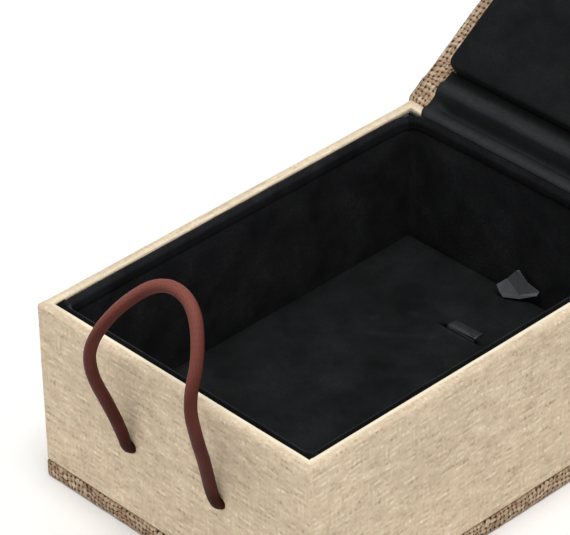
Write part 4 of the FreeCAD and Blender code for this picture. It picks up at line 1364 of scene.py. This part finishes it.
def make_outer_hinge_cloth(materials):
    """Case cloth from the spine's top into the groove and on to the lid's rear edge.

    Beside the black cloth it is double and taut, and bridges the groove.
    """
    low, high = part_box("outer_hinge_cloth")
    over_spine = [
        (68.45, 53.66),
        (69.4, 53.68),
        (70.5, 53.8),
        (71.3, 54.4),
        (71.85, 55.6),
        (72.2, 56.8),
    ]
    over_groove = [
        (68.4, 53.9),
        (68.45, 54.9),
        (69.1, 55.6),
        (70.3, 56.4),
        (71.3, 57.1),
        (72.2, 57.75),
    ]
    on_lid = [(69.15, 55.3), (68.7, 54.92), (67.6, 54.92), (65.4, 54.92)]
    lid_part = [opened_side(y, z) for y, z in on_lid]
    straight_part = [
        opened_side(y, z) for y, z in ((68.6, 54.95), (67.9, 55.0), (66.9, 55.2), (65.4, 55.7))
    ]
    steps = 24
    smooth = smooth_route([(y * MM, z * MM) for y, z in over_spine] + lid_part, steps)
    taut = smooth_route([(y * MM, z * MM) for y, z in over_groove] + straight_part, steps)

    def lift(place, share):
        index = round(share * steps)
        (y, z), (taut_y, taut_z) = smooth[index], taut[index]
        beside = smooth_step(abs(place.x), 42.8 * MM, 44.4 * MM)
        fade = min(1.0, share * 4, (1 - share) * 4)
        loose = Vector((0, 0.2, 0.5)) * ripple(place, 60, 3.0) * 0.25 * fade * MM
        return Vector((0, taut_y - y, taut_z - z)) * beside + loose * (1 - beside)

    wider = 0.5 * MM
    bm = strip_sheet(smooth, low.x - wider, high.x + wider, 1.4 * MM, lift)
    piece = finish_piece(bm, "outer_hinge_cloth_sheet", materials["case"])
    add_modifier(piece, "SOLIDIFY", "cloth thickness", thickness=WEAVE_THICKNESS, offset=0.0)
    apply_modifiers(piece)
    route_length(smooth)
    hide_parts("outer_hinge_cloth")
    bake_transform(piece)
    return piece


# ---- cord loop -----------------------------------------------------------------------------------

CORD = 3.3 * MM
# The loop's route in metres, with a short way into the front wall at each end.
LOOP_ROUTE = [
    (-0.0157, -0.0655, 0.0258),
    (-0.0157, -0.0678, 0.0267),
    (-0.0157, -0.0699, 0.0284),
    (-0.0155, -0.0709, 0.0329),
    (-0.0155, -0.0748, 0.0437),
    (-0.0158, -0.0802, 0.0568),
    (-0.0137, -0.0818, 0.0678),
    (-0.0081, -0.0769, 0.0790),
    (0.0007, -0.0698, 0.0880),
    (0.0126, -0.0699, 0.0876),
    (0.0207, -0.0761, 0.0788),
    (0.0227, -0.0821, 0.0686),
    (0.0221, -0.0796, 0.0568),
    (0.0198, -0.0750, 0.0448),
    (0.0167, -0.0709, 0.0339),
    (0.0173, -0.0699, 0.0284),
    (0.0173, -0.0678, 0.0267),
    (0.0173, -0.0655, 0.0258),
]


def nurbs_curve(name, route):
    curve = bpy.data.curves.new(name, "CURVE")
    curve.dimensions = "3D"
    curve.resolution_u = 10
    spline = curve.splines.new("NURBS")
    spline.points.add(len(route) - 1)
    for point, place in zip(spline.points, route):
        point.co = (*place, 1)
    spline.order_u = 3
    spline.use_endpoint_u = True
    return curve


def line_of(curve):
    """The points of a curve's own smooth line."""
    holder = bpy.data.objects.new("line", curve)
    data = bpy.data.meshes.new_from_object(holder)
    points = [vertex.co.copy() for vertex in data.vertices]
    bpy.data.meshes.remove(data)
    bpy.data.objects.remove(holder)
    return points


def tube(points, radius, sides, shape):
    """A mesh tube along points, closed at both ends, its cloth coordinates round and along it.

    Shape gives the radius's factor from the angle round the tube and the distance along it.
    """
    bm = bmesh.new()
    layer = bm.loops.layers.uv.new("cloth")
    rings, walked, walks = [], 0.0, []
    normal = Vector((1, 0, 0))
    for index, point in enumerate(points):
        ahead = points[min(index + 1, len(points) - 1)]
        behind = points[max(index - 1, 0)]
        way = (ahead - behind).normalized()
        normal = (normal - way * normal.dot(way)).normalized()
        side = way.cross(normal)
        if index:
            walked += (point - behind).length
        walks.append(walked)
        turn = []
        for step in range(sides):
            angle = 2 * math.pi * step / sides
            reach = radius * shape(angle, walked)
            turn.append(
                bm.verts.new(point + (normal * math.cos(angle) + side * math.sin(angle)) * reach)
            )
        rings.append(turn)
    for index, (turn, after) in enumerate(zip(rings, rings[1:])):
        for step in range(sides):
            following = (step + 1) % sides
            face = bm.faces.new((turn[step], turn[following], after[following], after[step]))
            places = ((step, index), (step + 1, index), (step + 1, index + 1), (step, index + 1))
            for loop, (round_step, row) in zip(face.loops, places):
                loop[layer].uv = (round_step / sides, walks[row])
    bm.faces.new(rings[0][::-1])
    bm.faces.new(rings[-1])
    bmesh.ops.recalc_face_normals(bm, faces=bm.faces)
    return bm


def make_cord_loop(materials):
    """The waxed cord loop, bending where it leaves the two holes in the front wall."""
    line = line_of(nurbs_curve("loop route", LOOP_ROUTE))

    whole = route_length(line)

    def shape(angle, walked):
        from_hole = min(walked, whole - walked)
        squeezed = 0.12 * (1 - smooth_step(from_hole, 4 * MM, 11 * MM))
        fuller = 0.06 * smooth_step(from_hole, 55 * MM, 70 * MM)
        flat = 1 - squeezed + fuller - 0.03 * math.cos(2 * angle)
        return flat + 0.02 * noise.noise(Vector((walked * 160, angle, 0)))

    bm = tube(line, CORD / 2, 20, shape)
    bm.normal_update()
    cord_light = bm.verts.layers.float.new("cord_light")
    # Painted highlight on the upward side of the arch, painted shade on the lower legs and at the holes.
    for vertex in bm.verts:
        on_arch = smooth_step(vertex.co.z, 52 * MM, 84 * MM)
        facing_up = smooth_step(vertex.normal.z - 0.4 * vertex.normal.x, -0.3, 1.0)
        at_hole = 1 - smooth_step(vertex.co.z, 29 * MM, 37 * MM)
        low_down = 1 - smooth_step(vertex.co.z, 36 * MM, 62 * MM)
        vertex[cord_light] = (0.10 + 0.90 * on_arch) * facing_up - 0.35 * low_down - 0.65 * at_hole
    piece = finish_piece(bm, "loop_cord", materials["cord"])
    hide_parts("cord_loop")
    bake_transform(piece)


# ---- button --------------------------------------------------------------------------------------


def make_button(materials):
    """Turned button with a rolled rim and a dished face."""
    low, high = closed_box("button")
    centre = (low + high) / 2
    radius = (high.x - low.x) / 2
    profile = [
        (0.0, 0.0),
        (0.62, 0.0),
        (0.80, 0.06),
        (0.93, 0.22),
        (1.0, 0.5),
        (0.95, 0.8),
        (0.84, 0.97),
        (0.72, 0.99),
        (0.60, 0.88),
        (0.48, 0.77),
        (0.30, 0.75),
        (0.0, 0.75),
    ]
    bm = bmesh.new()
    height = high.z - low.z
    row = [
        bm.verts.new((centre.x + share * radius, centre.y, low.z + up * height))
        for share, up in profile
    ]
    edges = [bm.edges.new(pair) for pair in zip(row, row[1:])]
    bmesh.ops.spin(
        bm,
        geom=row + edges,
        cent=(centre.x, centre.y, 0),
        axis=(0, 0, 1),
        angle=2 * math.pi,
        steps=48,
        use_merge=True,
        use_duplicate=False,
    )
    bmesh.ops.remove_doubles(bm, verts=bm.verts, dist=1e-6)
    bmesh.ops.recalc_face_normals(bm, faces=bm.faces)
    piece = finish_piece(bm, "wooden_button", materials["wood"], opened=True)
    add_modifier(piece, "SUBSURF", "soft turning", levels=1, render_levels=1)
    place_piece(piece, "lid", "button_wood", "button")


# ---- ribbons -------------------------------------------------------------------------------------


RIBBON_THICKNESS = 0.35 * MM
# The folded tab's corners, in millimetres to the right of its foot, up and forwards.
TAB_CORNERS = [
    (-4.4, 0.3, 1.0),
    (0.2, 0.6, 1.2),
    (5.0, 2.1, 0.9),
    (5.5, 3.0, 0.2),
    (0.1, 1.7, 0.7),
    (-5.2, 1.5, 0.3),
    (-6.6, 2.8, -0.9),
    (-3.9, 4.9, -1.2),
    (-1.2, 8.3, -0.9),
    (-0.4, 8.6, -0.5),
    (2.1, 5.2, -0.1),
]
TAB_FACETS = [
    (0, 1, 4, 5),
    (1, 2, 3, 4),
    (4, 3, 10),
    (4, 10, 9),
    (4, 9, 8),
    (5, 4, 8, 7),
    (5, 7, 6),
]


def make_slit_ribbon(materials):
    """Satin ribbon that comes up out of the slit and lies back over its edge."""
    low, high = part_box("slit_ribbon")
    rise = [(36.4, 9.4), (36.4, 15.9), (36.6, 16.8), (37.3, 17.2), (38.6, 17.2), (40.2, 16.95)]
    smooth = smooth_route([(y * MM, z * MM) for y, z in rise], 18)

    def lift(place, share):
        across = (place.x - low.x) / (high.x - low.x) - 0.5
        curl = 0.7 * across * abs(across) * smooth_step(share, 0.4, 1.0)
        return Vector((0, 0.3, 1.0)) * (curl + 0.12 * ripple(place, 260, 4.0) * share) * MM

    left, right = low.x + 0.4 * MM, high.x - 0.1 * MM
    bm = strip_sheet(smooth, left, right, 0.5 * MM, lift)
    piece = finish_piece(bm, "folded_ribbon", materials["ribbon"])
    add_modifier(piece, "SOLIDIFY", "ribbon thickness", thickness=RIBBON_THICKNESS, offset=0.0)
    apply_modifiers(piece)
    route_length(smooth)
    place_piece(piece, "floor_pad", "black_satin", "slit_ribbon")


def make_lift_tab(materials):
    """A satin ribbon folded to a point, standing at the back of the floor pad."""
    joint = JOINTS["tab_fold"]
    axis = Vector(joint["axis"]).normalized()
    foot = Vector(joint["pos_m"])
    up = Vector((0, 0, 1))
    forwards = axis.cross(up)
    bm = bmesh.new()
    corners = [
        bm.verts.new(foot + (axis * across + up * height + forwards * ahead) * MM)
        for across, height, ahead in TAB_CORNERS
    ]
    for facet in TAB_FACETS:
        bm.faces.new([corners[index] for index in facet])
    bmesh.ops.recalc_face_normals(bm, faces=bm.faces)
    folds = [edge for edge in bm.edges if len(edge.link_faces) == 2]
    bevel(bm, folds, 0.18 * MM, 2)
    bmesh.ops.triangulate(bm, faces=bm.faces)
    layer = bm.loops.layers.uv.new("cloth")
    for face in bm.faces:
        for loop in face.loops:
            offset = loop.vert.co - foot
            loop[layer].uv = (offset.dot(axis), offset.z)
    piece = finish_piece(bm, "lift_tab_ribbon", materials["tab"], smooth=False)
    add_modifier(piece, "SOLIDIFY", "folded twice", thickness=2 * RIBBON_THICKNESS, offset=0.0)
    apply_modifiers(piece)
    place_piece(piece, "tab", "black_satin", "lift_tab")


# ---- finishes for the solids that stay -----------------------------------------------------------


def dress_solids(materials):
    """Give every node that stays its own finish."""
    finish = {
        "greyboard": "board",
        "card": "card",
        "padding": "foam",
        "waxed_cord": "cord",
        "button_wood": "wood",
        "black_satin": "satin",
        "case_weave": "case",
        "natural_linen": "linen",
        "black_velvet": "lining",
    }
    slots = {entry["node"]: entry["material_slot"] for entry in frame["record"]["subparts"]}
    for name, node in frame["nodes"].items():
        if not node.hide_render:
            node.data.materials.clear()
            node.data.materials.append(materials[finish[slots[name]]])


make_camera()
make_studio()
MATERIALS = make_materials()
make_cord_loop(MATERIALS)
make_linen(MATERIALS)
make_case(MATERIALS)
make_linings(MATERIALS)
make_lid_pad(MATERIALS)
make_floor_pad(MATERIALS)
make_inner_hinge_cloth(MATERIALS)
make_outer_hinge_cloth(MATERIALS)
make_button(MATERIALS)
make_slit_ribbon(MATERIALS)
make_lift_tab(MATERIALS)
dress_solids(MATERIALS)

boxes = {"cad": CAD_BOX, "visual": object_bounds()}
{name: [list(corner) for corner in box] for name, box in boxes.items()}
